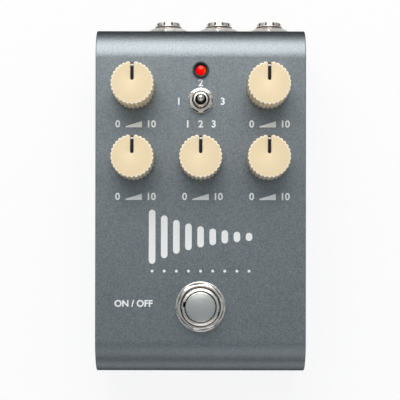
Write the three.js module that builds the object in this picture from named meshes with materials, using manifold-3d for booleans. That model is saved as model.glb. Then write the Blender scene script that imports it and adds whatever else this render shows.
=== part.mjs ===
// A compact tape echo pedal: a cast case whose front and rear edges are rolled over, five fluted
// knobs on their potentiometers, a three-position toggle, an indicator lamp, a sprung footswitch,
// three jacks and a power inlet. Millimetres, +X right, +Y to the rear, +Z up. The origin lies
// under the middle of the whole part, on the surface that the feet stand on.

import * as THREE from "three";
import { mergeVertices } from "three/addons/utils/BufferGeometryUtils.js";
import Module from "manifold-3d";

const wasm = await Module();
wasm.setup();

// Angles and the counts of flat faces on round forms
const fullTurn = 2 * Math.PI;
const halfTurn = Math.PI;
const quarterTurn = Math.PI / 2;
const degree = Math.PI / 180;
const wideSides = 36;
const roundSides = 24;
const hiddenSides = 16;
const hexagonSides = 6;
const bendSteps = 10;
const edgeSteps = 2;

// How far a cutting solid reaches past the piece that it cuts
const overrun = 1;

// Case
const bodyWidth = 67;
const bodyDepth = 110;
const panelHeight = 32;
const wallThickness = 2;
const bendRadius = 10;
const sideEdgeRadius = 0.5;

// Base plate, its screws and the posts that they enter
const plateThickness = 1.5;
const plateInset = 0.3;
const plateCornerRadius = 1;
const postRadius = 3;
const postInset = 3.7;
const postEndInset = 31;
const pilotRadius = 1.45;
const pilotDepth = 9;
const screwRadius = 1.25;
const screwLength = 8;
const screwHeadRadius = 2.8;
const screwHeadHeight = 1.4;
const screwClearance = 0.25;
const screwSunk = 0.1;
const crossLength = 3;
const crossWidth = 0.7;
const crossDepth = 0.9;

// Feet
const footHeight = 2;
const footRadius = 5;
const footTaper = 0.35;
const footEdge = 0.4;
const footSideInset = 8.5;
const footEndInset = 9;

// Knobs
const knobSideInset = 12.2;
const knobRearInset = 19.7;
const knobRowSpacing = 22.7;
const knobRadius = 6.75;
const knobDraft = 0.08;
const knobHeight = 11.9;
const knobGap = 0.6;
const knobEdge = 0.2;
const knobTopWall = 2;
const fluteCount = 30;
const fluteDepth = 0.45;
const shoulderShare = 0.42;

// Black core of a knob, whose fin shows in the slot as the pointer
const coreRadius = 4.3;
const coreClearance = 0.15;
const coreSunk = 0.3;
const slotWidth = 1.1;
const slotStart = 0.85;
const finClearance = 0.05;
const finReach = 6;
const finEdge = 0.8;

// Potentiometers
const shaftRadius = 3;
const shaftClearance = 0.15;
const shaftFlat = 1.5;
const shaftInKnob = 8.3;
const shaftInPot = 3.2;
const potWidth = 9.7;
const potDepth = 11;
const potBushRadius = 3.5;
const potBushRise = 1.1;
const potBushClearance = 0.25;

// Main board and what is soldered to it
const boardDrop = 6.6;
const boardThickness = 1.6;
const boardPostGap = 0.4;
const boardRearInset = 11;
const boardFrontGap = 8;
const boardCorner = 1.2;
const processorSize = 14;
const processorHeight = 1.4;
const processorInset = 14;
const capacitorRadius = 4;
const capacitorHeight = 7;
const capacitorWaistShare = 0.9;
const capacitorCrimpShare = 0.1;
const capacitorGap = 5;
const capacitorInset = 10;

// Toggle switch
const toggleRearInset = 23.7;
const toggleCaseWidth = 12.7;
const toggleCaseDepth = 6.8;
const toggleBushRadius = 2.4;
const toggleBushRise = 4.2;
const toggleBushEdge = 0.35;
const toggleBoreRadius = 1.75;
const toggleFitClearance = 0.1;
const toggleWasherRadius = 4.05;
const toggleWasherThickness = 0.5;
const toggleNutFlats = 7;
const toggleNutCorner = 4;
const toggleNutThickness = 1.6;
const togglePivotRise = 1.3;
const leverBallRadius = 1.5;
const leverBallGap = 0.3;
const leverNeckRadius = 0.75;
const leverTipRadius = 1.12;
const leverRoundShare = 0.8;
const leverRise = 8.4;

// Indicator lamp
const lampRearInset = 13.9;
const lampRadius = 1.6;
const lampCentreDrop = 1.2;
const lampFlange = 0.4;
const lampFlangeHeight = 1;
const lampLength = 1.8;
const lampLegWidth = 0.5;
const lampLegSpacing = 1.8;
const bezelRadius = 2.6;
const bezelRise = 1.2;
const bezelEdge = 0.35;
const bezelMouthRadius = 2.15;
const bezelMouthDepth = 1.3;
const bezelSleeve = 2.05;
const bezelSleeveLength = 2.4;
const bezelClearance = 0.12;

// Footswitch
const footswitchFrontInset = 20.8;
const footswitchCaseWidth = 16;
const footswitchCaseHeight = 17;
const footswitchCaseCorner = 1.5;
const footswitchBushRadius = 6;
const footswitchBushRise = 6.2;
const footswitchBushEdge = 0.45;
const footswitchBoreRadius = 5;
const footswitchBoreDepth = 9.2;
const footswitchFitClearance = 0.15;
const footswitchWasherRadius = 8;
const footswitchWasherThickness = 0.8;
const footswitchNutFlats = 14;
const footswitchNutCorner = 7.8;
const footswitchNutThickness = 2.6;
const footswitchNutTurn = 9.4;
const keywayWidth = 1.6;
const keywayDepth = 0.42;
const keywayTurn = 8.6;
const buttonRadius = 4.72;
const buttonRise = 9.6;
const buttonHeadHeight = 7.2;
const buttonEdge = 0.42;
const buttonCrown = 0.35;
const buttonTravel = 2;
const buttonStemRadius = 2.4;
const buttonStemLength = 11;
const stemClearance = 0.25;

// Return spring of the footswitch
const springWire = 0.6;
const springRadius = 3.65;
const springTurns = 3;
const springSeatGap = 0.15;
const springStepsPerTurn = 8;
const springSides = 5;

// Lead from the footswitch to the board
const leadRadius = 0.9;
const leadDrop = 5;
const leadReach = 12;
const leadSides = 8;
const leadSteps = 8;
const seatGap = 0.3;

// Jacks
const jackSideGap = 1.9;
const jackCaseGap = 2.4;
const jackFloorGap = 4.3;
const jackDepth = 24;
const jackReach = 3.8;
const jackBushRadius = 4.5;
const jackBushEdge = 0.4;
const jackBoreRadius = 3.25;
const jackEndWall = 1.5;
const jackHoleClearance = 0.25;
const jackNutFlats = 12;
const jackNutCorner = 6.8;
const jackNutThickness = 1.9;
const jackNutTurns = [-7, -4, -4];
const jackGrooveDepth = 0.5;
const jackGrooveWidth = 0.7;
const notchCount = 10;
const notchWidth = 0.65;
const notchRadial = 0.7;
const notchDepth = 1;
const nutChamferAngle = 30 * degree;

// Power inlet
const inletSideGap = 4.7;
const inletJackGap = 0.4;
const inletWidth = 8.6;
const inletUnderAxis = 5;
const inletDepth = 14;
const inletBushRadius = 4.2;
const inletHoleClearance = 0.25;
const inletBoreRadius = 2.95;
const inletBoreDepth = 10.5;
const inletPinRadius = 1;
const inletPinSunk = 1;

// Levels and places that follow from those sizes
const rimHeight = footHeight + plateThickness;
const panelUnderside = panelHeight - wallThickness;
const boardTop = panelUnderside - boardDrop;
const boardUnderside = boardTop - boardThickness;
const rearFace = bodyDepth / 2;
const insideX = bodyWidth / 2 - wallThickness;
const knobBottom = panelHeight + knobGap;
const buttonLow = panelHeight + buttonRise - buttonHeadHeight;
const postX = bodyWidth / 2 - postInset;
const postY = rearFace - postEndInset;
const footX = bodyWidth / 2 - footSideInset;
const footY = rearFace - footEndInset;
const knobColumn = bodyWidth / 2 - knobSideInset;
const knobRearRow = rearFace - knobRearInset;
const knobFrontRow = knobRearRow - knobRowSpacing;
const toggleY = rearFace - toggleRearInset;
const lampY = rearFace - lampRearInset;
const footswitchY = footswitchFrontInset - rearFace;
const boardHalfWidth = postX - postRadius - boardPostGap;
const boardRear = rearFace - boardRearInset;
const boardFront = footswitchY + footswitchCaseWidth / 2 + boardFrontGap;
const processorY = boardFront + processorInset;
const capacitorX = processorSize / 2 + capacitorGap + capacitorRadius;
const capacitorY = boardFront + capacitorInset;
const sideSigns = [-1, 1];
const knobPlaces = [
  { name: "rear_left", x: -knobColumn, y: knobRearRow },
  { name: "rear_right", x: knobColumn, y: knobRearRow },
  { name: "front_left", x: -knobColumn, y: knobFrontRow },
  { name: "front_middle", x: 0, y: knobFrontRow },
  { name: "front_right", x: knobColumn, y: knobFrontRow },
];

// The inlet and the jacks stand in one row along the rear wall. The jacks' cases are as wide as the
// row leaves them and as high as the space between the board and the base plate does.
const jackNames = ["left", "middle", "right"];
const rowGaps = inletSideGap + inletJackGap + (jackNames.length - 1) * jackCaseGap + jackSideGap;
const jackWidth = (2 * insideX - inletWidth - rowGaps) / jackNames.length;
const jackHeight = boardUnderside - rimHeight - jackFloorGap;
const jackAxisHeight = boardUnderside - jackHeight / 2;
const inletX = inletSideGap + inletWidth / 2 - insideX;
const firstJackX = inletX + inletWidth / 2 + inletJackGap + jackWidth / 2;
const jackPlaces = jackNames.map((name, index) => ({
  name,
  x: firstJackX + index * (jackWidth + jackCaseGap),
  turn: jackNutTurns[index] * degree,
}));
const cornerPlaces = [
  { name: "front_left", signX: -1, signY: -1 },
  { name: "front_right", signX: 1, signY: -1 },
  { name: "rear_left", signX: -1, signY: 1 },
  { name: "rear_right", signX: 1, signY: 1 },
];

// Finishes
const finishes = {
  casePaint: { color: 0x79838a, roughness: 0.45, metalness: 0.55 },
  plateSteel: { color: 0x5d6469, roughness: 0.5, metalness: 0.6 },
  nickel: { color: 0xc9c2b8, roughness: 0.22, metalness: 1 },
  satinMetal: { color: 0xa9aaa7, roughness: 0.38, metalness: 1 },
  shaftMetal: { color: 0xb8bcc0, roughness: 0.35, metalness: 1 },
  screwSteel: { color: 0x8e9296, roughness: 0.35, metalness: 1 },
  springSteel: { color: 0x9a9da0, roughness: 0.3, metalness: 1 },
  creamPlastic: { color: 0xf3e0bc, roughness: 0.42, metalness: 0 },
  blackPlastic: { color: 0x1b1a1b, roughness: 0.35, metalness: 0 },
  darkPlastic: { color: 0x2b2c2e, roughness: 0.55, metalness: 0 },
  bluePlastic: { color: 0x2f5d8f, roughness: 0.5, metalness: 0 },
  rubber: { color: 0x222325, roughness: 0.85, metalness: 0 },
  redLens: { color: 0xe31216, roughness: 0.15, metalness: 0 },
  boardGreen: { color: 0x1f5a3c, roughness: 0.5, metalness: 0 },
};

// Each mesh gets a material of its own, so that one piece can be recoloured alone
function finish(name) {
  return new THREE.MeshStandardMaterial({ ...finishes[name], flatShading: true });
}

// A closed geometry becomes a solid once only its positions are left and shared corners are one
function solid(geometry) {
  geometry.deleteAttribute("normal");
  geometry.deleteAttribute("uv");
  const merged = mergeVertices(geometry);
  const corners = Array.from(merged.index.array);
  const triangles = [];
  for (let first = 0; first < corners.length; first += 3) {
    const [a, b, c] = corners.slice(first, first + 3);
    if (a !== b && b !== c && c !== a) {
      triangles.push(a, b, c);
    }
  }
  return new wasm.Manifold(new wasm.Mesh({
    numProp: 3,
    vertProperties: new Float32Array(merged.attributes.position.array),
    triVerts: new Uint32Array(triangles),
  }));
}

// The mesh of a finished solid, under its own name
function piece(name, body, finishName) {
  const { vertProperties, triVerts } = body.getMesh();
  const geometry = new THREE.BufferGeometry();
  geometry.setAttribute("position", new THREE.BufferAttribute(new Float32Array(vertProperties), 3));
  geometry.setIndex(new THREE.BufferAttribute(new Uint32Array(triVerts), 1));
  geometry.computeVertexNormals();
  const mesh = new THREE.Mesh(geometry, finish(finishName));
  mesh.name = name;
  return mesh;
}

// A box between two opposite corners
function block(from, to) {
  const size = to.map((value, axis) => value - from[axis]);
  const middle = to.map((value, axis) => (value + from[axis]) / 2);
  const geometry = new THREE.BoxGeometry(...size);
  geometry.translate(...middle);
  return solid(geometry);
}

// An upright round bar between two heights
function rod(radius, low, high, x = 0, y = 0, sides = roundSides) {
  const geometry = new THREE.CylinderGeometry(radius, radius, high - low, sides);
  geometry.rotateX(quarterTurn);
  geometry.translate(x, y, (low + high) / 2);
  return solid(geometry);
}

// A round bar through the rear wall, between two depths
function rearRod(radius, from, to, x, z) {
  const geometry = new THREE.CylinderGeometry(radius, radius, to - from, roundSides);
  geometry.translate(x, (from + to) / 2, z);
  return solid(geometry);
}

// A turned form: its profile gives radius and height, counter-clockwise from the axis
function revolve(profile, sides = roundSides) {
  const points = profile.map(([radius, height]) => new THREE.Vector2(radius, height));
  const geometry = new THREE.LatheGeometry(points, sides);
  geometry.rotateX(quarterTurn);
  return solid(geometry);
}

// A turned ring with a chamfered or plain rectangular section
function ring(outer, inner, low, high, chamfer = 0, sides = roundSides) {
  const top = chamfer > 0 ? [[outer, high - chamfer], [outer - chamfer, high]] : [[outer, high]];
  return revolve([[inner, low], [outer, low], ...top, [inner, high], [inner, low]], sides);
}

// Points along an arc, both ends included
function arc(x, y, radius, from, to, steps) {
  return Array.from({ length: steps + 1 }, (_, step) => {
    const angle = from + ((to - from) * step) / steps;
    return [x + radius * Math.cos(angle), y + radius * Math.sin(angle)];
  });
}

// The rounded upper edge of a turned form: points from its side to its top face
function roundedEdge(radius, top, edge) {
  return arc(radius - edge, top - edge, edge, 0, quarterTurn, edgeSteps);
}

// An upright prism over a closed outline
function prism(outline, low, high) {
  const shape = new THREE.Shape(outline.map(([x, y]) => new THREE.Vector2(x, y)));
  const geometry = new THREE.ExtrudeGeometry(shape, { depth: high - low, bevelEnabled: false });
  geometry.translate(0, 0, low);
  return solid(geometry);
}

// The outline of a rectangle about a centre, with round corners
function roundedRectangle(width, depth, radius, x = 0, y = 0) {
  const right = width / 2 - radius;
  const rear = depth / 2 - radius;
  return [
    ...arc(x + right, y + rear, radius, 0, quarterTurn, edgeSteps),
    ...arc(x - right, y + rear, radius, quarterTurn, halfTurn, edgeSteps),
    ...arc(x - right, y - rear, radius, halfTurn, halfTurn + quarterTurn, edgeSteps),
    ...arc(x + right, y - rear, radius, halfTurn + quarterTurn, fullTurn, edgeSteps),
  ];
}

// A hexagon nut whose upper corners are turned off by a shallow cone
function hexNut(flats, cornerRadius, boreRadius, low, high, turn) {
  const reach = flats / 2 / Math.cos(halfTurn / hexagonSides);
  const outline = arc(0, 0, reach, turn, turn + fullTurn, hexagonSides).slice(1);
  const fullRadius = flats / 2;
  const drop = (cornerRadius - fullRadius) * Math.tan(nutChamferAngle);
  const turned = revolve([
    [0, low],
    [cornerRadius, low],
    [cornerRadius, high - drop],
    [fullRadius, high],
    [0, high],
  ], wideSides);
  const bore = rod(boreRadius, low - overrun, high + overrun);
  return prism(outline, low, high).intersect(turned).subtract(bore);
}

// Geometry drawn as a side view (y, z) and extruded from left to right
function sideToSide(shape, width, options = {}) {
  const edge = options.bevelThickness ?? 0;
  const depth = width - 2 * edge;
  const geometry = new THREE.ExtrudeGeometry(shape, { depth, bevelEnabled: false, ...options });
  geometry.translate(0, 0, -depth / 2);
  const toRight = new THREE.Vector3(1, 0, 0);
  const toRear = new THREE.Vector3(0, 1, 0);
  const upward = new THREE.Vector3(0, 0, 1);
  geometry.applyMatrix4(new THREE.Matrix4().makeBasis(toRear, upward, toRight));
  return solid(geometry);
}

// The side view of the case, set in evenly from its outer skin
function caseProfile(inset) {
  const half = bodyDepth / 2 - inset;
  const top = panelHeight - inset;
  const bend = bendRadius - inset;
  const low = rimHeight - overrun;
  const shape = new THREE.Shape();
  shape.moveTo(-half, low);
  shape.lineTo(half, low);
  shape.absarc(half - bend, top - bend, bend, 0, quarterTurn);
  shape.absarc(bend - half, top - bend, bend, quarterTurn, halfTurn);
  return shape;
}

// The case: a shell open below, with screw posts along its sides and the holes for the controls
function topShell() {
  const skin = sideToSide(caseProfile(0), bodyWidth, {
    curveSegments: bendSteps,
    bevelEnabled: true,
    bevelThickness: sideEdgeRadius,
    bevelSize: sideEdgeRadius,
    bevelOffset: -sideEdgeRadius,
    bevelSegments: edgeSteps,
  });
  const belowRim = block([-bodyWidth, -bodyDepth, -overrun], [bodyWidth, bodyDepth, rimHeight]);
  let hollow = sideToSide(caseProfile(wallThickness), bodyWidth - 2 * wallThickness, {
    curveSegments: bendSteps,
  });
  const pilots = [];
  for (const signX of sideSigns) {
    for (const signY of sideSigns) {
      const post = rod(postRadius, 0, panelHeight, signX * postX, signY * postY, hiddenSides);
      hollow = hollow.subtract(post);
      const top = rimHeight + pilotDepth;
      pilots.push(rod(pilotRadius, 0, top, signX * postX, signY * postY, hiddenSides));
    }
  }
  const low = panelUnderside - overrun;
  const high = panelHeight + overrun;
  const inside = rearFace - wallThickness - overrun;
  const outside = rearFace + overrun;
  const potHole = potBushRadius + potBushClearance;
  const toggleHole = toggleBushRadius + toggleFitClearance;
  const footswitchHole = footswitchBushRadius + footswitchFitClearance;
  const jackHole = jackBushRadius + jackHoleClearance;
  const inletHole = inletBushRadius + inletHoleClearance;
  const holes = [
    ...knobPlaces.map(({ x, y }) => rod(potHole, low, high, x, y, hiddenSides)),
    rod(toggleHole, low, high, 0, toggleY),
    rod(bezelSleeve + bezelClearance, low, high, 0, lampY),
    rod(footswitchHole, low, high, 0, footswitchY),
    ...jackPlaces.map(({ x }) => rearRod(jackHole, inside, outside, x, jackAxisHeight)),
    rearRod(inletHole, inside, outside, inletX, jackAxisHeight),
  ];
  let shell = skin.subtract(belowRim).subtract(hollow);
  for (const hole of [...pilots, ...holes]) {
    shell = shell.subtract(hole);
  }
  return piece("top_shell", shell, "casePaint");
}

// The base plate closes the case from below and takes the countersunk screws
function bottomPlate() {
  const width = bodyWidth - 2 * plateInset;
  const depth = bodyDepth - 2 * plateInset;
  let plate = prism(roundedRectangle(width, depth, plateCornerRadius), footHeight, rimHeight);
  const shank = screwRadius + screwClearance;
  const mouth = screwHeadRadius + screwClearance;
  for (const signX of sideSigns) {
    for (const signY of sideSigns) {
      const profile = [
        [0, footHeight - overrun],
        [mouth, footHeight - overrun],
        [mouth, footHeight + screwSunk],
        [shank, footHeight + screwHeadHeight + screwSunk],
        [shank, rimHeight + overrun],
        [0, rimHeight + overrun],
      ];
      const points = profile.map(([radius, height]) => new THREE.Vector2(radius, height));
      const geometry = new THREE.LatheGeometry(points, hiddenSides);
      geometry.rotateX(quarterTurn);
      geometry.translate(signX * postX, signY * postY, 0);
      plate = plate.subtract(solid(geometry));
    }
  }
  return piece("bottom_plate", plate, "plateSteel");
}

// A countersunk screw with a cross recess in its head, which faces down
function caseScrew({ name, signX, signY }) {
  const low = footHeight + screwSunk;
  const headTop = low + screwHeadHeight;
  const tip = low + screwLength;
  const turned = revolve([
    [0, low],
    [screwHeadRadius, low],
    [screwRadius, headTop],
    [screwRadius, tip - screwRadius],
    [screwRadius / 2, tip],
    [0, tip],
  ], hiddenSides);
  const long = crossLength / 2;
  const short = crossWidth / 2;
  const floor = low + crossDepth;
  const screw = turned
    .subtract(block([-long, -short, low - overrun], [long, short, floor]))
    .subtract(block([-short, -long, low - overrun], [short, long, floor]));
  const mesh = piece(`case_screw_${name}`, screw, "screwSteel");
  mesh.position.set(signX * postX, signY * postY, 0);
  return mesh;
}

// A rubber foot, slightly narrower where it stands
function rubberFoot({ name, signX, signY }) {
  const low = footRadius - footTaper;
  const foot = revolve([
    [0, 0],
    ...arc(low - footEdge, footEdge, footEdge, -quarterTurn, 0, edgeSteps),
    [footRadius, footHeight],
    [0, footHeight],
  ]);
  const mesh = piece(`rubber_foot_${name}`, foot, "rubber");
  mesh.position.set(signX * footX, signY * footY, 0);
  return mesh;
}

// One closed outline of the fluted grip: a valley and the two shoulders of a rib for each flute.
// A rib lies on +Y, where the pointer is.
function flutedOutline(crest, valley, height) {
  const flutes = Array.from({ length: fluteCount }, (_, index) => index);
  return flutes.flatMap((index) => [
    [valley, index - 1 / 2],
    [crest, index - shoulderShare / 2],
    [crest, index + shoulderShare / 2],
  ]).map(([radius, flute]) => {
    const turn = (flute / fluteCount) * fullTurn;
    return [-radius * Math.sin(turn), radius * Math.cos(turn), height];
  });
}

// A closed solid through a stack of outlines with as many points each, listed upwards
function loft(outlines) {
  const count = outlines[0].length;
  const last = outlines.length - 1;
  const points = outlines.flat();
  const triangles = [];
  for (let level = 0; level < last; level += 1) {
    for (let index = 0; index < count; index += 1) {
      const next = (index + 1) % count;
      const a = level * count + index;
      const b = level * count + next;
      triangles.push(a, b, b + count, a, b + count, a + count);
    }
  }
  const foot = points.length;
  points.push([0, 0, outlines[0][0][2]], [0, 0, outlines[last][0][2]]);
  for (let index = 0; index < count; index += 1) {
    const next = (index + 1) % count;
    triangles.push(foot, next, index);
    triangles.push(foot + 1, last * count + index, last * count + next);
  }
  const geometry = new THREE.BufferGeometry();
  geometry.setAttribute("position", new THREE.Float32BufferAttribute(points.flat(), 3));
  geometry.setIndex(triangles);
  return solid(geometry);
}

// The plan of the pointer slot: a strip from near the axis outwards, round at its inner end
function slotOutline(width, start, reach) {
  const half = width / 2;
  return [
    ...arc(0, start + half, half, halfTurn, fullTurn, 2 * edgeSteps),
    [half, reach],
    [-half, reach],
  ];
}

// The cream grip of a knob: fluted outside, hollow for its core, slotted for the pointer
function knobGrip({ name, x, y }) {
  const topRadius = knobRadius - knobDraft;
  const grip = loft([
    flutedOutline(knobRadius, knobRadius - fluteDepth, 0),
    flutedOutline(topRadius, topRadius - fluteDepth, knobHeight - knobEdge),
    flutedOutline(topRadius - knobEdge, topRadius - fluteDepth - knobEdge / 2, knobHeight),
  ]);
  const boreTop = knobHeight - knobTopWall;
  const bore = rod(coreRadius + coreClearance, -overrun, boreTop, 0, 0, hiddenSides);
  const slotReach = knobRadius + overrun;
  const slot = prism(slotOutline(slotWidth, slotStart, slotReach), -overrun, knobHeight + overrun);
  const mesh = piece(`knob_grip_${name}`, grip.subtract(bore).subtract(slot), "creamPlastic");
  mesh.position.set(x, y, knobBottom);
  return mesh;
}

// A round bar with one flat on +Y, from the height where the flat starts
function flattedRod(radius, flat, low, flatLow, high) {
  const reach = radius + overrun;
  const away = block([-reach, flat, flatLow], [reach, reach, high + overrun]);
  return rod(radius, low, high, 0, 0, hiddenSides).subtract(away);
}

// The black core presses into the grip, takes the shaft and fills the slot with its fin
function knobCore({ name, x, y }) {
  const top = knobHeight - knobTopWall - coreClearance;
  const hub = rod(coreRadius, coreSunk, top, 0, 0, hiddenSides);
  const finTop = knobHeight - finClearance;
  const side = new THREE.Shape();
  side.moveTo(0, coreSunk);
  side.lineTo(finReach, coreSunk);
  side.absarc(finReach - finEdge, finTop - finEdge, finEdge, 0, quarterTurn);
  side.lineTo(0, finTop);
  const width = slotWidth - 2 * finClearance;
  const plan = slotOutline(width, slotStart + finClearance, finReach + overrun);
  const fin = sideToSide(side, slotWidth, { curveSegments: edgeSteps + 1 })
    .intersect(prism(plan, 0, knobHeight));
  const recessTop = potBushRise - knobGap + seatGap;
  const recessRadius = potBushRadius + shaftClearance + coreClearance;
  const recess = rod(recessRadius, -overrun, recessTop, 0, 0, hiddenSides);
  const boreTop = shaftInKnob + seatGap;
  const bore = flattedRod(shaftRadius + shaftClearance, shaftFlat + shaftClearance, 0, 0, boreTop);
  const core = hub.add(fin).subtract(recess).subtract(bore);
  const mesh = piece(`knob_core_${name}`, core, "blackPlastic");
  mesh.position.set(x, y, knobBottom);
  return mesh;
}

// The shaft runs from the potentiometer's case into the knob
function potShaft({ name, x, y }) {
  const low = panelUnderside - shaftInPot + seatGap;
  const high = knobBottom + shaftInKnob;
  const flatLow = panelHeight + potBushRise;
  const shaft = flattedRod(shaftRadius, shaftFlat, low, flatLow, high);
  const mesh = piece(`pot_shaft_${name}`, shaft, "shaftMetal");
  mesh.position.set(x, y, 0);
  return mesh;
}

// A potentiometer's case stands on the board and its bush comes up through the panel
function potBody({ name, x, y }) {
  const halfX = potWidth / 2;
  const halfY = potDepth / 2;
  const body = block([-halfX, -halfY, boardTop], [halfX, halfY, panelUnderside]);
  const bushTop = panelHeight + potBushRise;
  const bush = rod(potBushRadius, panelUnderside - overrun, bushTop, 0, 0, hiddenSides);
  const low = panelUnderside - shaftInPot;
  const bore = rod(shaftRadius + shaftClearance, low, bushTop + overrun, 0, 0, hiddenSides);
  const mesh = piece(`pot_body_${name}`, body.add(bush).subtract(bore), "darkPlastic");
  mesh.position.set(x, y, 0);
  return mesh;
}

// The board carries the potentiometers above and the jacks below
function mainBoard() {
  const depth = boardRear - boardFront;
  const middle = (boardRear + boardFront) / 2;
  const outline = roundedRectangle(2 * boardHalfWidth, depth, boardCorner, 0, middle);
  return piece("main_board", prism(outline, boardUnderside, boardTop), "boardGreen");
}

function signalProcessor() {
  const half = processorSize / 2;
  const low = boardUnderside - processorHeight;
  const chip = block([-half, processorY - half, low], [half, processorY + half, boardUnderside]);
  return piece("signal_processor", chip, "darkPlastic");
}

// A smoothing capacitor hangs from the board, with the usual crimped waist
function supplyCapacitor() {
  const low = boardUnderside - capacitorHeight;
  const waist = capacitorRadius * capacitorWaistShare;
  const crimp = capacitorHeight * capacitorCrimpShare;
  const can = revolve([
    [0, low],
    [capacitorRadius, low],
    [capacitorRadius, boardUnderside - 3 * crimp],
    [waist, boardUnderside - 2 * crimp],
    [capacitorRadius, boardUnderside - crimp],
    [capacitorRadius, boardUnderside],
    [0, boardUnderside],
  ], hiddenSides);
  const mesh = piece("supply_capacitor", can, "bluePlastic");
  mesh.position.set(capacitorX, capacitorY, 0);
  return mesh;
}

// The toggle's case and its threaded bush, bored for the lever
function toggleBody() {
  const halfX = toggleCaseWidth / 2;
  const halfY = toggleCaseDepth / 2;
  const top = panelHeight + toggleBushRise;
  const bushLow = panelUnderside - overrun;
  const bush = revolve([
    [0, bushLow],
    [toggleBushRadius, bushLow],
    ...roundedEdge(toggleBushRadius, top, toggleBushEdge),
    [0, top],
  ]);
  const floor = panelHeight + togglePivotRise - leverBallRadius - leverBallGap;
  const body = block([-halfX, -halfY, boardTop], [halfX, halfY, panelUnderside])
    .add(bush)
    .subtract(rod(toggleBoreRadius, floor, top + overrun, 0, 0, hiddenSides));
  const mesh = piece("toggle_body", body, "nickel");
  mesh.position.set(0, toggleY, 0);
  return mesh;
}

function toggleWasher() {
  const bore = toggleBushRadius + toggleFitClearance;
  const high = panelHeight + toggleWasherThickness;
  const washer = ring(toggleWasherRadius, bore, panelHeight, high, toggleWasherThickness / 3);
  const mesh = piece("toggle_washer", washer, "nickel");
  mesh.position.set(0, toggleY, 0);
  return mesh;
}

function toggleNut() {
  const low = panelHeight + toggleWasherThickness;
  const bore = toggleBushRadius + toggleFitClearance;
  const nut = hexNut(toggleNutFlats, toggleNutCorner, bore, low, low + toggleNutThickness, quarterTurn);
  const mesh = piece("toggle_nut", nut, "nickel");
  mesh.position.set(0, toggleY, 0);
  return mesh;
}

// The lever: a ball in the bush, a thin neck and a rounded, thicker tip. Its origin is the pivot.
function toggleLever() {
  const tip = leverRise - togglePivotRise;
  const neckAngle = Math.acos(leverNeckRadius / leverBallRadius);
  const ball = arc(0, 0, leverBallRadius, -quarterTurn, neckAngle, 2 * edgeSteps).slice(1);
  const round = leverTipRadius * leverRoundShare;
  const lever = revolve([
    [0, -leverBallRadius],
    ...ball,
    [leverTipRadius, tip - leverTipRadius],
    ...roundedEdge(leverTipRadius, tip, round),
    [0, tip],
  ]);
  const mesh = piece("toggle_lever", lever, "nickel");
  mesh.position.set(0, toggleY, panelHeight + togglePivotRise);
  return mesh;
}

// The lamp: a domed lens with a flange, on two legs that stand on the board
function indicatorLamp() {
  const domeCentre = panelHeight - lampCentreDrop;
  const flangeTop = domeCentre - lampLength;
  const flangeLow = flangeTop - lampFlangeHeight;
  const lens = revolve([
    [0, flangeLow],
    [lampRadius + lampFlange, flangeLow],
    [lampRadius + lampFlange, flangeTop],
    [lampRadius, flangeTop],
    ...arc(0, domeCentre, lampRadius, 0, quarterTurn, 2 * edgeSteps).slice(0, -1),
    [0, domeCentre + lampRadius],
  ]);
  let lamp = lens;
  for (const sign of sideSigns) {
    const middle = (sign * lampLegSpacing) / 2;
    const half = lampLegWidth / 2;
    lamp = lamp.add(block([middle - half, -half, boardTop], [middle + half, half, flangeTop]));
  }
  const mesh = piece("indicator_lamp", lamp, "redLens");
  mesh.position.set(0, lampY, 0);
  return mesh;
}

// The bezel sits on the panel with a flared mouth, and its sleeve holds the lamp in the hole
function lampBezel() {
  const top = panelHeight + bezelRise;
  const inner = lampRadius + bezelClearance;
  const sleeveLow = panelHeight - bezelSleeveLength;
  const bezel = revolve([
    [inner, sleeveLow],
    [bezelSleeve, sleeveLow],
    [bezelSleeve, panelHeight],
    [bezelRadius, panelHeight],
    ...roundedEdge(bezelRadius, top, bezelEdge),
    [bezelMouthRadius, top],
    [inner, top - bezelMouthDepth],
    [inner, sleeveLow],
  ]);
  const mesh = piece("lamp_bezel", bezel, "blackPlastic");
  mesh.position.set(0, lampY, 0);
  return mesh;
}

// The footswitch's case and threaded bush, with a stepped bore and a keyway inside it on the left
function footswitchBody() {
  const top = panelHeight + footswitchBushRise;
  const caseLow = panelUnderside - footswitchCaseHeight;
  const outline = roundedRectangle(footswitchCaseWidth, footswitchCaseWidth, footswitchCaseCorner);
  const bush = revolve([
    [0, panelUnderside - overrun],
    [footswitchBushRadius, panelUnderside - overrun],
    ...roundedEdge(footswitchBushRadius, top, footswitchBushEdge),
    [0, top],
  ]);
  const boreFloor = top - footswitchBoreDepth;
  const stemFloor = buttonLow - buttonStemLength - buttonTravel - seatGap;
  const keyReach = footswitchBoreRadius + keywayDepth;
  const keyHeight = top + overrun - panelHeight;
  const key = new THREE.BoxGeometry(keyReach, keywayWidth, keyHeight);
  key.translate(-keyReach / 2, 0, panelHeight + keyHeight / 2);
  key.rotateZ(-keywayTurn * degree);
  const body = prism(outline, caseLow, panelUnderside)
    .add(bush)
    .subtract(rod(footswitchBoreRadius, boreFloor, top + overrun))
    .subtract(rod(buttonStemRadius + stemClearance, stemFloor, top, 0, 0, hiddenSides))
    .subtract(solid(key));
  const mesh = piece("footswitch_body", body, "nickel");
  mesh.position.set(0, footswitchY, 0);
  return mesh;
}

function footswitchWasher() {
  const bore = footswitchBushRadius + footswitchFitClearance;
  const high = panelHeight + footswitchWasherThickness;
  const chamfer = footswitchWasherThickness / 3;
  const washer = ring(footswitchWasherRadius, bore, panelHeight, high, chamfer, wideSides);
  const mesh = piece("footswitch_washer", washer, "nickel");
  mesh.position.set(0, footswitchY, 0);
  return mesh;
}

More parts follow.
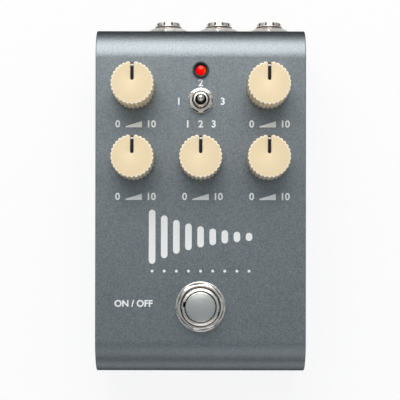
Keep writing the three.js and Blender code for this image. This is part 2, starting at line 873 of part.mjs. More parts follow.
function footswitchNut() {
  const low = panelHeight + footswitchWasherThickness;
  const high = low + footswitchNutThickness;
  const bore = footswitchBushRadius + footswitchFitClearance;
  const turn = footswitchNutTurn * degree;
  const nut = hexNut(footswitchNutFlats, footswitchNutCorner, bore, low, high, turn);
  const mesh = piece("footswitch_nut", nut, "nickel");
  mesh.position.set(0, footswitchY, 0);
  return mesh;
}

// The button: a slightly crowned head with a rounded edge, on a stem that slides in the case
function footswitchButton() {
  const top = panelHeight + buttonRise;
  const crownReach = buttonRadius - buttonEdge;
  const crownRadius = (crownReach ** 2 + buttonCrown ** 2) / (2 * buttonCrown);
  const crownStart = Math.acos(crownReach / crownRadius);
  const crown = arc(0, top - crownRadius, crownRadius, crownStart, quarterTurn, 2 * edgeSteps);
  const button = revolve([
    [0, buttonLow - buttonStemLength],
    [buttonStemRadius, buttonLow - buttonStemLength],
    [buttonStemRadius, buttonLow],
    [buttonRadius, buttonLow],
    ...roundedEdge(buttonRadius, top - buttonCrown, buttonEdge),
    ...crown.slice(1, -1),
    [0, top],
  ]);
  const mesh = piece("footswitch_button", button, "satinMetal");
  mesh.position.set(0, footswitchY, 0);
  return mesh;
}

// The centre line of a coil spring between two heights
class CoilLine extends THREE.Curve {
  constructor(radius, turns, low, high) {
    super();
    Object.assign(this, { radius, turns, low, high });
  }

  getPoint(share, target = new THREE.Vector3()) {
    const angle = share * this.turns * fullTurn;
    const height = this.low + share * (this.high - this.low);
    return target.set(this.radius * Math.cos(angle), this.radius * Math.sin(angle), height);
  }
}

// A tube of a few flat sides along a curve
function tube(curve, radius, sides, steps) {
  const outline = arc(0, 0, radius, 0, fullTurn, sides).slice(1);
  const shape = new THREE.Shape(outline.map(([x, y]) => new THREE.Vector2(x, y)));
  return solid(new THREE.ExtrudeGeometry(shape, { steps, extrudePath: curve, bevelEnabled: false }));
}

// The least gap between two turns, measured on points of the centre line
function leastGap(curve, wire, turns) {
  const steps = turns * springStepsPerTurn;
  const points = curve.getSpacedPoints(steps);
  let least = Infinity;
  for (let first = 0; first < points.length; first += 1) {
    for (let second = first + springStepsPerTurn / 2; second < points.length; second += 1) {
      least = Math.min(least, points[first].distanceTo(points[second]) - wire);
    }
  }
  return least;
}

// The return spring stands on the floor of the bush's bore, round the stem, under the head
function footswitchSpring() {
  const floor = panelHeight + footswitchBushRise - footswitchBoreDepth;
  const low = floor + springSeatGap + springWire / 2;
  const high = buttonLow - springSeatGap - springWire / 2;
  const line = new CoilLine(springRadius, springTurns, low, high);
  const gap = leastGap(line, springWire, springTurns);
  console.log(`least gap between the spring's turns: ${gap.toFixed(2)} mm`);
  const coil = tube(line, springWire / 2, springSides, springTurns * springStepsPerTurn);
  const mesh = piece("footswitch_spring", coil, "springSteel");
  mesh.position.set(0, footswitchY, 0);
  return mesh;
}

// The lead leaves the back of the footswitch's case and turns up to the board
function switchLead() {
  const startY = footswitchY + footswitchCaseWidth / 2;
  const height = boardUnderside - leadDrop;
  const endY = startY + leadReach;
  const path = new THREE.QuadraticBezierCurve3(
    new THREE.Vector3(0, startY + seatGap, height),
    new THREE.Vector3(0, endY, height),
    new THREE.Vector3(0, endY, boardUnderside - seatGap),
  );
  return piece("switch_lead", tube(path, leadRadius, leadSides, leadSteps), "blackPlastic");
}

// Pieces in the rear wall are built pointing up and turned to point rearwards, from its outer face
function inRearWall(mesh, x) {
  mesh.rotation.set(-quarterTurn, 0, 0);
  mesh.position.set(x, rearFace, jackAxisHeight);
  return mesh;
}

// A jack: its case behind the wall and a threaded bush with a castellated end
function jackBody({ name, x }) {
  const caseFront = -wallThickness - jackDepth;
  const halfX = jackWidth / 2;
  const halfY = jackHeight / 2;
  const grooveLow = jackNutThickness;
  const grooveHigh = jackNutThickness + jackGrooveWidth;
  const grooveRadius = jackBushRadius - jackGrooveDepth;
  let body = block([-halfX, -halfY, caseFront], [halfX, halfY, -wallThickness]).add(revolve([
    [0, -wallThickness - overrun],
    [jackBushRadius, -wallThickness - overrun],
    [jackBushRadius, grooveLow],
    [grooveRadius, grooveLow],
    [grooveRadius, grooveHigh],
    [jackBushRadius, grooveHigh],
    [jackBushRadius, jackReach - jackBushEdge],
    [jackBushRadius - jackBushEdge, jackReach],
    [0, jackReach],
  ]));
  body = body.subtract(rod(jackBoreRadius, caseFront + jackEndWall, jackReach + overrun));
  for (let index = 0; index < notchCount; index += 1) {
    const inside = jackBushRadius - notchRadial;
    const length = notchRadial + overrun;
    const height = notchDepth + overrun;
    const geometry = new THREE.BoxGeometry(length, notchWidth, height);
    geometry.translate(inside + length / 2, 0, jackReach - notchDepth + height / 2);
    geometry.rotateZ(quarterTurn + ((index + 1 / 2) * fullTurn) / notchCount);
    body = body.subtract(solid(geometry));
  }
  return inRearWall(piece(`jack_body_${name}`, body, "nickel"), x);
}

function jackNut({ name, x, turn }) {
  const bore = jackBushRadius + jackHoleClearance / 2;
  const nut = hexNut(jackNutFlats, jackNutCorner, bore, 0, jackNutThickness, quarterTurn + turn);
  return inRearWall(piece(`jack_nut_${name}`, nut, "nickel"), x);
}

// The power inlet: a round mouth flush with the wall and a pin in its bore
function powerInlet() {
  const upper = boardUnderside - jackAxisHeight;
  const back = -wallThickness - inletDepth;
  const half = inletWidth / 2;
  const body = block([-half, -upper, back], [half, inletUnderAxis, -wallThickness])
    .add(rod(inletBushRadius, -wallThickness - overrun, 0))
    .subtract(rod(inletBoreRadius, -inletBoreDepth, overrun))
    .add(rod(inletPinRadius, -inletBoreDepth - overrun, -inletPinSunk, 0, 0, hiddenSides));
  return inRearWall(piece("power_inlet", body, "blackPlastic"), inletX);
}

const pedal = new THREE.Group();
pedal.add(topShell(), bottomPlate());
for (const place of cornerPlaces) {
  pedal.add(caseScrew(place), rubberFoot(place));
}
for (const place of knobPlaces) {
  pedal.add(knobGrip(place), knobCore(place), potShaft(place), potBody(place));
}
pedal.add(mainBoard(), signalProcessor(), supplyCapacitor());
pedal.add(toggleBody(), toggleWasher(), toggleNut(), toggleLever());
pedal.add(indicatorLamp(), lampBezel());
pedal.add(footswitchBody(), footswitchWasher(), footswitchNut(), footswitchButton());
pedal.add(footswitchSpring(), switchLead());
for (const place of jackPlaces) {
  pedal.add(jackBody(place), jackNut(place));
}
pedal.add(powerInlet());

// The case is drawn about its own middle; half the jacks' reach brings the origin to the whole part's
pedal.position.y = -jackReach / 2;

export default pedal;
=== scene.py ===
# A compact tape echo pedal, dressed in the order in which it is put together: the case and its print,
# the base plate, the board and its parts, then the controls on the panel and the jacks behind it.
# Metres, +X right, +Y to the rear, +Z up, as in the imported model.

import math

import bpy
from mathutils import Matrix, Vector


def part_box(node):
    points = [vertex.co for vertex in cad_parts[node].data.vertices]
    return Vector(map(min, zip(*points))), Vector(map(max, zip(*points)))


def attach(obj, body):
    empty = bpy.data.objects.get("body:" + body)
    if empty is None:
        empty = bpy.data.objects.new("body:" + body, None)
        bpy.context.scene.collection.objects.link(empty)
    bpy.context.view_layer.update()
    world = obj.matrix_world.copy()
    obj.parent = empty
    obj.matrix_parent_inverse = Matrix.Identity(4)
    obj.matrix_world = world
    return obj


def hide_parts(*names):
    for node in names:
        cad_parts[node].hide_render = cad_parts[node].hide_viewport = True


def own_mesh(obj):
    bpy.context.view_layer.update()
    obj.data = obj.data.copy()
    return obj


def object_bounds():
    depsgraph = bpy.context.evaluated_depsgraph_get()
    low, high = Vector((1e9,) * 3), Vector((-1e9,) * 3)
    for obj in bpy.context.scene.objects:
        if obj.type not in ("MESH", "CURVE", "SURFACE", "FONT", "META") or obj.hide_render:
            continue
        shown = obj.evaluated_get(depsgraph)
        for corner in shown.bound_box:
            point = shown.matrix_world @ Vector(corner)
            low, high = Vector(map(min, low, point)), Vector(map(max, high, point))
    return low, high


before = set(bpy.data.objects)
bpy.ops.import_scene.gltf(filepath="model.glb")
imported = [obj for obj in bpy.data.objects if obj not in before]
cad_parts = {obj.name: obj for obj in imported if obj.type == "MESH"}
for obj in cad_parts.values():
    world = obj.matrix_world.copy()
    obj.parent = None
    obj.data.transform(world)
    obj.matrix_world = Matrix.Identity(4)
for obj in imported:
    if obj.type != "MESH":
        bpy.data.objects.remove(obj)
cad_low, cad_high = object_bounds()
mm = 0.001


# Camera
# The photograph looks down on the panel from about 45 cm above it, from over its front half and square
# to it. The shift is what that framing needs.
photo_side = 400
focal_pixels = 1432.6
camera_place = (-0.16 * mm, -28.67 * mm, 487.2 * mm)
camera_tilt = math.radians(0.384)
camera_roll = math.radians(0.084)
down_shift_pixels = 73.7

bpy.ops.object.camera_add(location=camera_place, rotation=(camera_tilt, 0, camera_roll))
camera = bpy.context.object
camera.data.sensor_width = 36
camera.data.lens = focal_pixels / photo_side * camera.data.sensor_width
camera.data.shift_y = down_shift_pixels / photo_side
camera.data.clip_start = 0.01
bpy.context.scene.camera = camera
bpy.context.scene.view_settings.view_transform = "Standard"


# Light
# One large round soft light behind and above the pedal makes the bright band along the rear bend, a
# smaller one in front fills, and a dim sky that glows towards the rear gives the metal its middle tones.
def set_sockets(node, sockets):
    """Gives sockets, by name or number, a value, a node's first output or a given output."""
    for socket, value in sockets.items():
        if isinstance(value, bpy.types.Node):
            value = value.outputs[0]
        if isinstance(value, bpy.types.NodeSocket):
            node.id_data.links.new(value, node.inputs[socket])
        else:
            node.inputs[socket].default_value = value
    return node


def add_node(tree, kind, sockets=None, **settings):
    """A node with its settings and what its sockets are given."""
    made = tree.nodes.new(kind)
    for name, value in settings.items():
        setattr(made, name, value)
    return set_sockets(made, sockets or {})


def soft_light(name, place, width, power, color):
    """A round lamp that faces the middle of the panel."""
    bpy.ops.object.light_add(type="AREA", location=place)
    lamp = bpy.context.object
    lamp.name = name
    lamp.data.shape = "DISK"
    lamp.data.size = width
    lamp.data.energy = power
    lamp.data.color = color
    toward = [to - at for to, at in zip((0, 0, cad_high.z), place)]
    level = math.hypot(toward[0], toward[1])
    lamp.rotation_euler = (math.atan2(level, -toward[2]), 0, math.atan2(-toward[0], toward[1]))


soft_light("rear_light", (-0.048, 0.469, 0.416), width=0.712, power=4.3, color=(1, 0.985, 0.965))
soft_light("front_light", (0.055, -0.425, 0.389), width=0.39, power=0.31, color=(1, 1, 1))

sky_low = (0.17, 0.18, 0.19, 1)
sky_high = (0.46, 0.5, 0.52, 1)
glow_lean = math.radians(30)
glow_axis = (0, math.sin(glow_lean), math.cos(glow_lean))
world = bpy.data.worlds.new("studio")
bpy.context.scene.world = world
world.use_nodes = True
sky = world.node_tree
sky.nodes.clear()
direction = add_node(sky, "ShaderNodeTexCoord").outputs["Generated"]
toward_glow = add_node(sky, "ShaderNodeVectorMath", {0: direction, 1: glow_axis}, operation="DOT_PRODUCT")
fade = add_node(sky, "ShaderNodeValToRGB", {"Fac": toward_glow.outputs["Value"]})
for stop, share, color in [(0, 0.1, sky_low), (1, 0.9, sky_high)]:
    fade.color_ramp.elements[stop].position = share
    fade.color_ramp.elements[stop].color = color
background = add_node(sky, "ShaderNodeBackground", {"Color": fade, "Strength": 1})
add_node(sky, "ShaderNodeOutputWorld", {"Surface": background})


# Floor
# A plain white table top. It shows as white to the camera and in the metal, and keeps most of the
# pedal's shadow.
def add_math(tree, operation, *values, **settings):
    """A Math node with its values in order."""
    return add_node(tree, "ShaderNodeMath", dict(enumerate(values)), operation=operation, **settings)


def started(add, name, **settings):
    """A new object from one of Blender's primitives, with all else deselected."""
    bpy.ops.object.select_all(action="DESELECT")
    add(**settings)
    made = bpy.context.object
    made.name = made.data.name = name
    return made


def picked(piece):
    """Selects one piece alone and makes it the active one."""
    bpy.ops.object.select_all(action="DESELECT")
    piece.select_set(True)
    bpy.context.view_layer.objects.active = piece
    return piece


def placed(piece, location=None, turn=None):
    """Leaves edit mode, moves and turns the piece if asked, and writes its place into its mesh."""
    if bpy.context.mode != "OBJECT":
        bpy.ops.object.mode_set(mode="OBJECT")
    if location:
        piece.location = location
    if turn:
        piece.rotation_euler = turn
    picked(piece)
    bpy.ops.object.transform_apply(location=True, rotation=True, scale=True)
    return piece


floor_radius = 12
floor_white_share = 0.88
add_circle = bpy.ops.mesh.primitive_circle_add
floor = started(add_circle, "floor", vertices=96, radius=floor_radius, fill_type="NGON")
table_top = bpy.data.materials.new("table_top")
table_top.use_nodes = True
tree = table_top.node_tree
tree.nodes.clear()
ray = add_node(tree, "ShaderNodeLightPath").outputs
seen = add_math(tree, "MAXIMUM", ray["Is Camera Ray"], ray["Is Glossy Ray"])
seen = add_math(tree, "MAXIMUM", seen, ray["Is Transmission Ray"])
white_share = add_math(tree, "MULTIPLY", seen, floor_white_share)
lit = add_node(tree, "ShaderNodeBsdfDiffuse", {"Color": (0.86, 0.86, 0.86, 1)})
white = add_node(tree, "ShaderNodeEmission", {"Color": (1, 1, 1, 1), "Strength": 1})
mixed = add_node(tree, "ShaderNodeMixShader", {"Fac": white_share, 1: lit, 2: white})
add_node(tree, "ShaderNodeOutputMaterial", {"Surface": mixed})
floor.data.materials.append(table_top)

# A black card lies behind the pedal, where the picture doesn't reach. Only shiny surfaces mirror it:
# it gives the rear bend its dark edge.
card_width = 400 * mm
card_front = 72 * mm
card_rear = 320 * mm
card_lift = 0.2 * mm
card_place = (0, (card_front + card_rear) / 2, card_lift)
card = started(bpy.ops.mesh.primitive_plane_add, "black_card", size=1, location=card_place)
card.scale = (card_width, card_rear - card_front, 1)
placed(card)
card.visible_camera = card.visible_diffuse = card.visible_shadow = False
card_black = bpy.data.materials.new("card_black")
card_black.use_nodes = True
card_shader = card_black.node_tree.nodes["Principled BSDF"]
set_sockets(card_shader, {"Base Color": (0.02, 0.02, 0.02, 1), "Roughness": 0.9})
card.data.materials.append(card_black)


# Case
# One aluminium casting, open below: its front and rear edges roll over in a wide bend and its sides
# are cut square, and it carries the screw posts. It is blasted and anodised to a fine metallic grain.
bend_radius = 10 * mm
bend_steps = 28
wall = 2 * mm
side_edge = 0.3 * mm
post_radius = 3 * mm
pilot_radius = 1.45 * mm
pilot_depth = 9 * mm
pot_hole = 3.75 * mm
toggle_hole = 2.5 * mm
lamp_hole = 2.17 * mm
switch_hole = 6.15 * mm
jack_hole = 4.75 * mm
inlet_hole = 4.45 * mm
case_low, case_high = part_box("top_shell")
panel_top = case_high.z
panel_under = panel_top - wall
rear_face = case_high.y
corners = ["front_left", "front_right", "rear_left", "rear_right"]
knobs = ["rear_left", "rear_right", "front_left", "front_middle", "front_right"]
jacks = ["left", "middle", "right"]


def middle_of(node):
    """The middle of a node's box."""
    low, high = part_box(node)
    return (low + high) / 2


jack_axis = middle_of("jack_nut_middle").z


def box_piece(name, low, high):
    """A block between two corners, left in edit mode with all of it selected."""
    place = [(a + b) / 2 for a, b in zip(low, high)]
    piece = started(bpy.ops.mesh.primitive_cube_add, name, size=1, location=place)
    bpy.ops.object.mode_set(mode="EDIT")
    size = [b - a for a, b in zip(low, high)]
    bpy.ops.transform.resize(value=size, center_override=place)
    return piece


def near(value, target):
    """Whether two places are the same but for rounding."""
    return abs(value - target) < 1e-3 * mm


def at_level(height):
    """A test for edges that lie at a height."""
    return lambda a, b: near(a.z, height) and near(b.z, height)


def select_edges(piece, wanted):
    """Selects the edges whose two ends, in the scene's metres, pass the test."""
    bpy.ops.mesh.select_mode(type="EDGE")
    bpy.ops.mesh.select_all(action="DESELECT")
    bpy.ops.object.mode_set(mode="OBJECT")
    place = piece.location
    points = [vertex.co + place for vertex in piece.data.vertices]
    for edge in piece.data.edges:
        edge.select = wanted(points[edge.vertices[0]], points[edge.vertices[1]])
    bpy.ops.object.mode_set(mode="EDIT")


def round_edges(piece, radius, steps, wanted):
    """Rounds the chosen edges of the piece in edit mode."""
    select_edges(piece, wanted)
    bpy.ops.mesh.bevel(offset=radius, offset_type="OFFSET", segments=steps, profile=0.5)


def merge_doubles(distance):
    """Merges corners that lie closer than a distance."""
    bpy.ops.mesh.select_all(action="SELECT")
    bpy.ops.mesh.remove_doubles(threshold=distance)


def finished(piece):
    """Turns a piece's faces outwards and leaves edit mode."""
    bpy.ops.mesh.select_all(action="SELECT")
    bpy.ops.mesh.normals_make_consistent(inside=False)
    return placed(piece)


def extrude_rings(rings, x=0, y=0):
    """Extrudes the selected first ring through all rings of radius and height."""
    for (radius, height), (new_radius, new_height) in zip(rings, rings[1:]):
        bpy.ops.mesh.extrude_region_move(TRANSFORM_OT_translate={"value": (0, 0, new_height - height)})
        share = new_radius / radius
        bpy.ops.transform.resize(value=(share, share, 1), center_override=(x, y, new_height))


def turned(name, rings, sides, spot=(0, 0)):
    """A turned piece through rings of radius and height. It is a tube where the last ring is the first."""
    radius, height = rings[0]
    place = (spot[0], spot[1], height)
    piece = started(add_circle, name, vertices=sides, radius=radius, fill_type="NOTHING", location=place)
    bpy.ops.object.mode_set(mode="EDIT")
    extrude_rings(rings, spot[0], spot[1])
    if rings[-1] == rings[0]:
        merge_doubles(1e-4 * mm)
    else:
        bpy.ops.mesh.edge_face_add()
        bpy.ops.mesh.select_mode(type="EDGE")
        bpy.ops.mesh.select_non_manifold(extend=False)
        bpy.ops.mesh.edge_face_add()
    return finished(piece)


def rod(name, radius, low, high, sides, spot=(0, 0)):
    """A plain round rod, or the hole that it cuts."""
    return turned(name, [(radius, low), (radius, high)], sides, spot)


def arc(radius_middle, height_middle, radius, start, end, steps):
    """Rings along an arc of a turned profile, with its angles in degrees."""
    rings = []
    for step in range(steps + 1):
        angle = math.radians(start + (end - start) * step / steps)
        rings.append((radius_middle + radius * math.cos(angle), height_middle + radius * math.sin(angle)))
    return rings


def apply_modifier(piece, kind, **settings):
    """Adds a modifier with its settings and applies it."""
    picked(piece)
    modifier = piece.modifiers.new(kind, kind)
    for name, value in settings.items():
        setattr(modifier, name, value)
    bpy.ops.object.modifier_apply(modifier=modifier.name)


def combine(piece, other, operation):
    """Cuts with, joins or keeps what is common with another piece, which is used up."""
    apply_modifier(piece, "BOOLEAN", operation=operation, solver="EXACT", object=other)
    bpy.data.objects.remove(other)


def cut(piece, other):
    """Cuts another piece's shape out of a piece."""
    combine(piece, other, "DIFFERENCE")


def joined(name, pieces):
    """Several pieces as one object."""
    whole = picked(pieces[0])
    for piece in pieces:
        piece.select_set(True)
    bpy.ops.object.join()
    whole.name = whole.data.name = name
    return whole


def rearward(piece, x):
    """Turns a piece built upright, from the rear wall's outer face, to point to the rear."""
    return placed(piece, (x, rear_face, jack_axis), (-math.pi / 2, 0, 0))


def rolled_block(name, inset):
    """The case's outer form, or its hollow by an inset: a block with two wide bends."""
    low = (case_low.x + inset, case_low.y + inset, case_low.z - inset)
    high = (case_high.x - inset, case_high.y - inset, case_high.z - inset)
    piece = box_piece(name, low, high)
    at_top = at_level(high[2])
    round_edges(piece, bend_radius - inset, bend_steps, lambda a, b: at_top(a, b) and near(a.y, b.y))
    return piece


shell = rolled_block("case_shell", 0)
at_foot = at_level(case_low.z)
round_edges(shell, side_edge, 4, lambda a, b: (
    near(abs(a.x), case_high.x) and near(b.x, a.x) and not at_foot(a, b)
))
placed(shell)
hollow = placed(rolled_block("hollow", wall))
screw_spots = {corner: middle_of(f"case_screw_{corner}") for corner in corners}
for spot in screw_spots.values():
    cut(hollow, rod("post", post_radius, 0, panel_top, 48, spot))
cut(shell, hollow)

knob_spots = {knob: middle_of(f"pot_shaft_{knob}") for knob in knobs}
holes = [rod("pilot", pilot_radius, 0, case_low.z + pilot_depth, 32, spot) for spot in screw_spots.values()]
for spot, radius in [
    *[(spot, pot_hole) for spot in knob_spots.values()],
    (middle_of("toggle_nut"), toggle_hole),
    (middle_of("lamp_bezel"), lamp_hole),
    (middle_of("footswitch_nut"), switch_hole),
]:
    holes.append(rod("hole", radius, panel_under - wall, panel_top + wall, 64, spot))
for node, radius in [*[(f"jack_nut_{jack}", jack_hole) for jack in jacks], ("power_inlet", inlet_hole)]:
    holes.append(rearward(rod("hole", radius, -2 * wall, wall, 64), middle_of(node).x))
cut(shell, joined("holes", holes))

number = "NodeSocketFloat"
colour = "NodeSocketColor"
vector = "NodeSocketVector"


def new_group(name, inputs, outputs):
    """A shader node group with named sockets: its tree, what comes in, and its end node."""
    tree = bpy.data.node_groups.new(name, "ShaderNodeTree")
    for socket, kind, value in inputs:
        made = tree.interface.new_socket(socket, in_out="INPUT", socket_type=kind)
        if value is not None:
            made.default_value = value
    for socket, kind in outputs:
        tree.interface.new_socket(socket, in_out="OUTPUT", socket_type=kind)
    return tree, tree.nodes.new("NodeGroupInput").outputs, tree.nodes.new("NodeGroupOutput")


# Fine grain on a surface: flecks in its colour and roughness, soft clouding and a slight relief
surface_grain, given, result = new_group("surface_grain", [
    ("Color", colour, (0.5, 0.5, 0.5, 1)),
    ("Roughness", number, 0.5),
    ("Grains Per Metre", number, 2500),
    ("Fleck", number, 0.1),
    ("Clouding", number, 0.03),
    ("Roughness Spread", number, 0.05),
    ("Relief", number, 0.01 * mm),
], [("Color", colour), ("Roughness", number), ("Normal", vector)])
tree = surface_grain
place = add_node(tree, "ShaderNodeTexCoord").outputs["Object"]
flecks = add_node(tree, "ShaderNodeTexNoise", {
    "Vector": place, "Scale": given["Grains Per Metre"], "Detail": 3, "Roughness": 0.65,
})
clouds = add_node(tree, "ShaderNodeTexNoise", {"Vector": place, "Scale": 70, "Detail": 3, "Roughness": 0.5})
fleck_step = add_node(tree, "ShaderNodeMapRange", {0: flecks, 1: 0.3, 2: 0.7, 3: -1, 4: 1})
cloud_step = add_node(tree, "ShaderNodeMapRange", {0: clouds, 1: 0.3, 2: 0.7, 3: -1, 4: 1})
fleck_part = add_math(tree, "MULTIPLY", fleck_step, given["Fleck"])
cloud_part = add_math(tree, "MULTIPLY_ADD", cloud_step, given["Clouding"], fleck_part)
gain = add_math(tree, "ADD", cloud_part, 1)
spread = (fleck_step, given["Roughness Spread"], given["Roughness"])
set_sockets(result, {
    "Color": add_node(tree, "ShaderNodeVectorMath", {0: given["Color"], "Scale": gain}, operation="SCALE"),
    "Roughness": add_math(tree, "MULTIPLY_ADD", *spread, use_clamp=True),
    "Normal": add_node(tree, "ShaderNodeBump", {"Height": flecks, "Distance": given["Relief"]}),
})


def new_material(name, color, roughness, grain, metallic=0, others=None):
    """A material with its constants on the shader, and grain over its colour, roughness and normal.

    The grain is its grains per metre, fleck, clouding, spread of roughness and relief in millimetres.
    """
    made = bpy.data.materials.new(name)
    made.use_nodes = True
    shader = made.node_tree.nodes["Principled BSDF"]
    base = {"Base Color": (*color, 1), "Roughness": roughness, "Metallic": metallic}
    set_sockets(shader, {**base, **(others or {})})
    given = dict(enumerate([(*color, 1), roughness, *grain[:4], grain[4] * mm]))
    group = add_node(made.node_tree, "ShaderNodeGroup", given, node_tree=surface_grain)
    set_sockets(shader, dict(zip(("Base Color", "Roughness", "Normal"), group.outputs)))
    return made


def dress(piece, material, node=None, body="housing", smooth=35, flat_faces=False):
    """Gives a finished piece its shading, material and body, and the node it stands for."""
    picked(piece)
    bpy.ops.object.shade_smooth_by_angle(angle=math.radians(smooth))
    if flat_faces:
        apply_modifier(piece, "WEIGHTED_NORMAL", keep_sharp=True)
    if not piece.data.materials:
        piece.data.materials.append(material)
    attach(piece, body)
    if node:
        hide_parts(node)


case_metal = new_material(
    "blasted_blue_grey", (0.222, 0.245, 0.26), 0.43, (2300, 0.28, 0.02, 0.06, 0.012), metallic=1,
    others={"Specular Tint": (0, 0, 0, 1)},
)
dress(shell, case_metal, "top_shell", flat_faces=True)


# Print on the panel
# White epoxy ink, screened on after anodising and a few hundredths of a millimetre thick: a range
# mark under each knob, numbers round the toggle, two words by the footswitch and fading bars.
ink = 0.035 * mm
figure_height = 3.1 * mm
small_height = 2.9 * mm
stroke_gain = 0.085 * mm
prints = []


def upright(a, b):
    """Whether an edge stands upright."""
    return near(a.x, b.x) and near(a.y, b.y)


def print_words(words, x, y, size=figure_height):
    """Prints words, centred on a place of the panel."""
    text = started(bpy.ops.object.text_add, "words", location=(x, y, panel_top + ink / 2)).data
    text.body = words
    text.size = size
    text.align_x = text.align_y = "CENTER"
    text.extrude = ink / 2
    text.offset = stroke_gain
    bpy.ops.object.convert(target="MESH")
    prints.append(placed(bpy.context.object))


def ink_block(name, width, height, x, y):
    """A block of ink centred on a place of the panel, left in edit mode."""
    low = (x - width / 2, y - height / 2, panel_top)
    return box_piece(name, low, (x + width / 2, y + height / 2, panel_top + ink))


def print_bar(width, height, x, y):
    """Prints an upright bar with round ends, or a dot where it is as wide as high."""
    bar = ink_block("bar", width, height, x, y)
    round_edges(bar, width * 0.499, 8, upright)
    merge_doubles(1e-4 * mm)
    prints.append(placed(bar))


wedge_width = 5.2 * mm
wedge_height = 2 * mm
range_spread = 5.1 * mm
ten_shift = 0.4 * mm
wedge_fall = 0.82
range_rows = {"rear": 21.9 * mm, "front": -1.2 * mm}
for knob, spot in knob_spots.items():
    x = spot.x
    y = range_rows[knob.split("_")[0]]
    print_words("0", x - range_spread, y)
    wedge = ink_block("wedge", wedge_width, wedge_height, x, y)
    select_edges(wedge, lambda a, b: upright(a, b) and a.x < x and a.y > y)
    bpy.ops.transform.translate(value=(0, -wedge_fall * wedge_height, 0))
    prints.append(placed(wedge))
    print_words("10", x + range_spread + ten_shift, y)

toggle_spot = middle_of("toggle_nut")
for figure, right, rear in [("1", -7 * mm, -0.3 * mm), ("2", 0, 5.6 * mm), ("3", 7 * mm, -0.3 * mm)]:
    print_words(figure, toggle_spot.x + right, toggle_spot.y + rear)
print_words("1   2   3", toggle_spot.x, range_rows["rear"])

switch_spot = middle_of("footswitch_nut")
print_words("ON / OFF", -21.3 * mm, switch_spot.y + 0.9 * mm, small_height)

bar_count = 9
bar_width = 2.1 * mm
bar_pitch = 3.85 * mm
tallest_bar = 17.2 * mm
decay_share = 0.79
bars_y = -13.9 * mm
dots_y = -24.8 * mm
for index in range(bar_count):
    x = (index - (bar_count - 1) / 2) * bar_pitch
    tall = max(tallest_bar * decay_share ** index, bar_width * 1.2)
    print_bar(bar_width, tall, x, bars_y)
    print_bar(0.9 * mm, 0.92 * mm, x, dots_y)
white_ink = new_material("white_ink", (0.88, 0.88, 0.87), 0.42, (5000, 0.03, 0.02, 0.08, 0.004))
dress(joined("panel_print", prints), white_ink, smooth=20)


# Base plate
# A flat steel plate, 1.5 mm thick, with countersunk holes and paint to match the case. It lies against
# the case's rim and stands back from its edge by a hair all round.
plate_low, plate_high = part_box("bottom_plate")
plate_corner = 1 * mm
plate_edge = 0.25 * mm
sink_radius = 3.05 * mm
sink_depth = 1.4 * mm
sink_level = plate_low.z + 0.1 * mm
shank_hole = 1.5 * mm

plate = box_piece("base_plate", plate_low, plate_high)
round_edges(plate, plate_corner, 6, upright)
round_edges(plate, plate_edge, 3, at_level(plate_low.z))
placed(plate)
cut(plate, joined("sinks", [turned("sink", [
    (sink_radius, plate_low.z - wall), (sink_radius, sink_level),
    (shank_hole, sink_level + sink_depth), (shank_hole, plate_high.z + wall),
], 48, spot) for spot in screw_spots.values()]))
plate_paint = new_material(
    "grey_plate_paint", (0.15, 0.17, 0.185), 0.5, (1800, 0.12, 0.04, 0.06, 0.02), metallic=0.6
)
dress(plate, plate_paint, "bottom_plate", flat_faces=True)


# Case screws
# Four countersunk machine screws of zinc-plated steel, with a cross recess, that pull the base plate
# against the case's posts.
screw_head_height = 1.4 * mm
screw_shank = 1.25 * mm
recess_width = 0.75 * mm
recess_length = 3 * mm
recess_depth = 0.9 * mm
recess_taper = 0.72


def box_radius(node):
    """Half the width of a node's box."""
    low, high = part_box(node)
    return (high.x - low.x) / 2


def thread(radius, low, high, pitch, depth):
    """Rings for a threaded stretch, crest and root in turn from its low end up."""
    turns = max(1, round((high - low) / pitch))
    step = (high - low) / turns
    rings = [(radius - depth, low)]
    for turn in range(turns):
        rings.append((radius, low + (turn + 0.4) * step))
        rings.append((radius, low + (turn + 0.6) * step))
        rings.append((radius - depth, low + (turn + 1) * step))
    return rings


zinc = new_material("zinc_plated_steel", (0.55, 0.56, 0.58), 0.3, (3000, 0.08, 0.1, 0.08, 0.006), metallic=1)
for corner, spot in screw_spots.items():
    node = f"case_screw_{corner}"
    low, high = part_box(node)
    head_radius = box_radius(node)
    head_top = low.z + screw_head_height
    screw = turned(f"plate_screw_{corner}", [
        (head_radius - 0.12 * mm, low.z), (head_radius, low.z + 0.1 * mm),
        (screw_shank, head_top),
        *thread(screw_shank, head_top + 0.1 * mm, high.z - screw_shank, 0.5 * mm, 0.2 * mm),
        (screw_shank / 2, high.z),
    ], 48, spot)
    for long_x, long_y in [(recess_length, recess_width), (recess_width, recess_length)]:
        slot_low = (spot.x - long_x / 2, spot.y - long_y / 2, low.z - wall)
        slot_high = (spot.x + long_x / 2, spot.y + long_y / 2, low.z + recess_depth)
        slot = box_piece("recess", slot_low, slot_high)
        select_edges(slot, at_level(slot_high[2]))
        bpy.ops.transform.resize(
            value=(recess_taper, recess_taper, 1), center_override=(spot.x, spot.y, slot_high[2])
        )
        cut(screw, placed(slot))
    dress(screw, zinc, node)


# Feet
# Four moulded rubber feet, stuck to the plate. Each is a low cone with a rounded rim and a flat face
# to stand on.
foot_rim = 0.4 * mm
foot_radius = box_radius("rubber_foot_front_left")
foot_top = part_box("rubber_foot_front_left")[1].z
stand_radius = foot_radius - 0.35 * mm
rubber = new_material("black_rubber", (0.02, 0.021, 0.022), 0.78, (1500, 0.2, 0.1, 0.08, 0.03))
for corner in corners:
    node = f"rubber_foot_{corner}"
    foot = turned(f"foot_{corner}", [
        *arc(stand_radius - foot_rim, foot_rim, foot_rim, -90, 0, 6),
        (foot_radius, foot_top - 0.15 * mm), (foot_radius, foot_top),
    ], 64, middle_of(node))
    dress(foot, rubber, node)


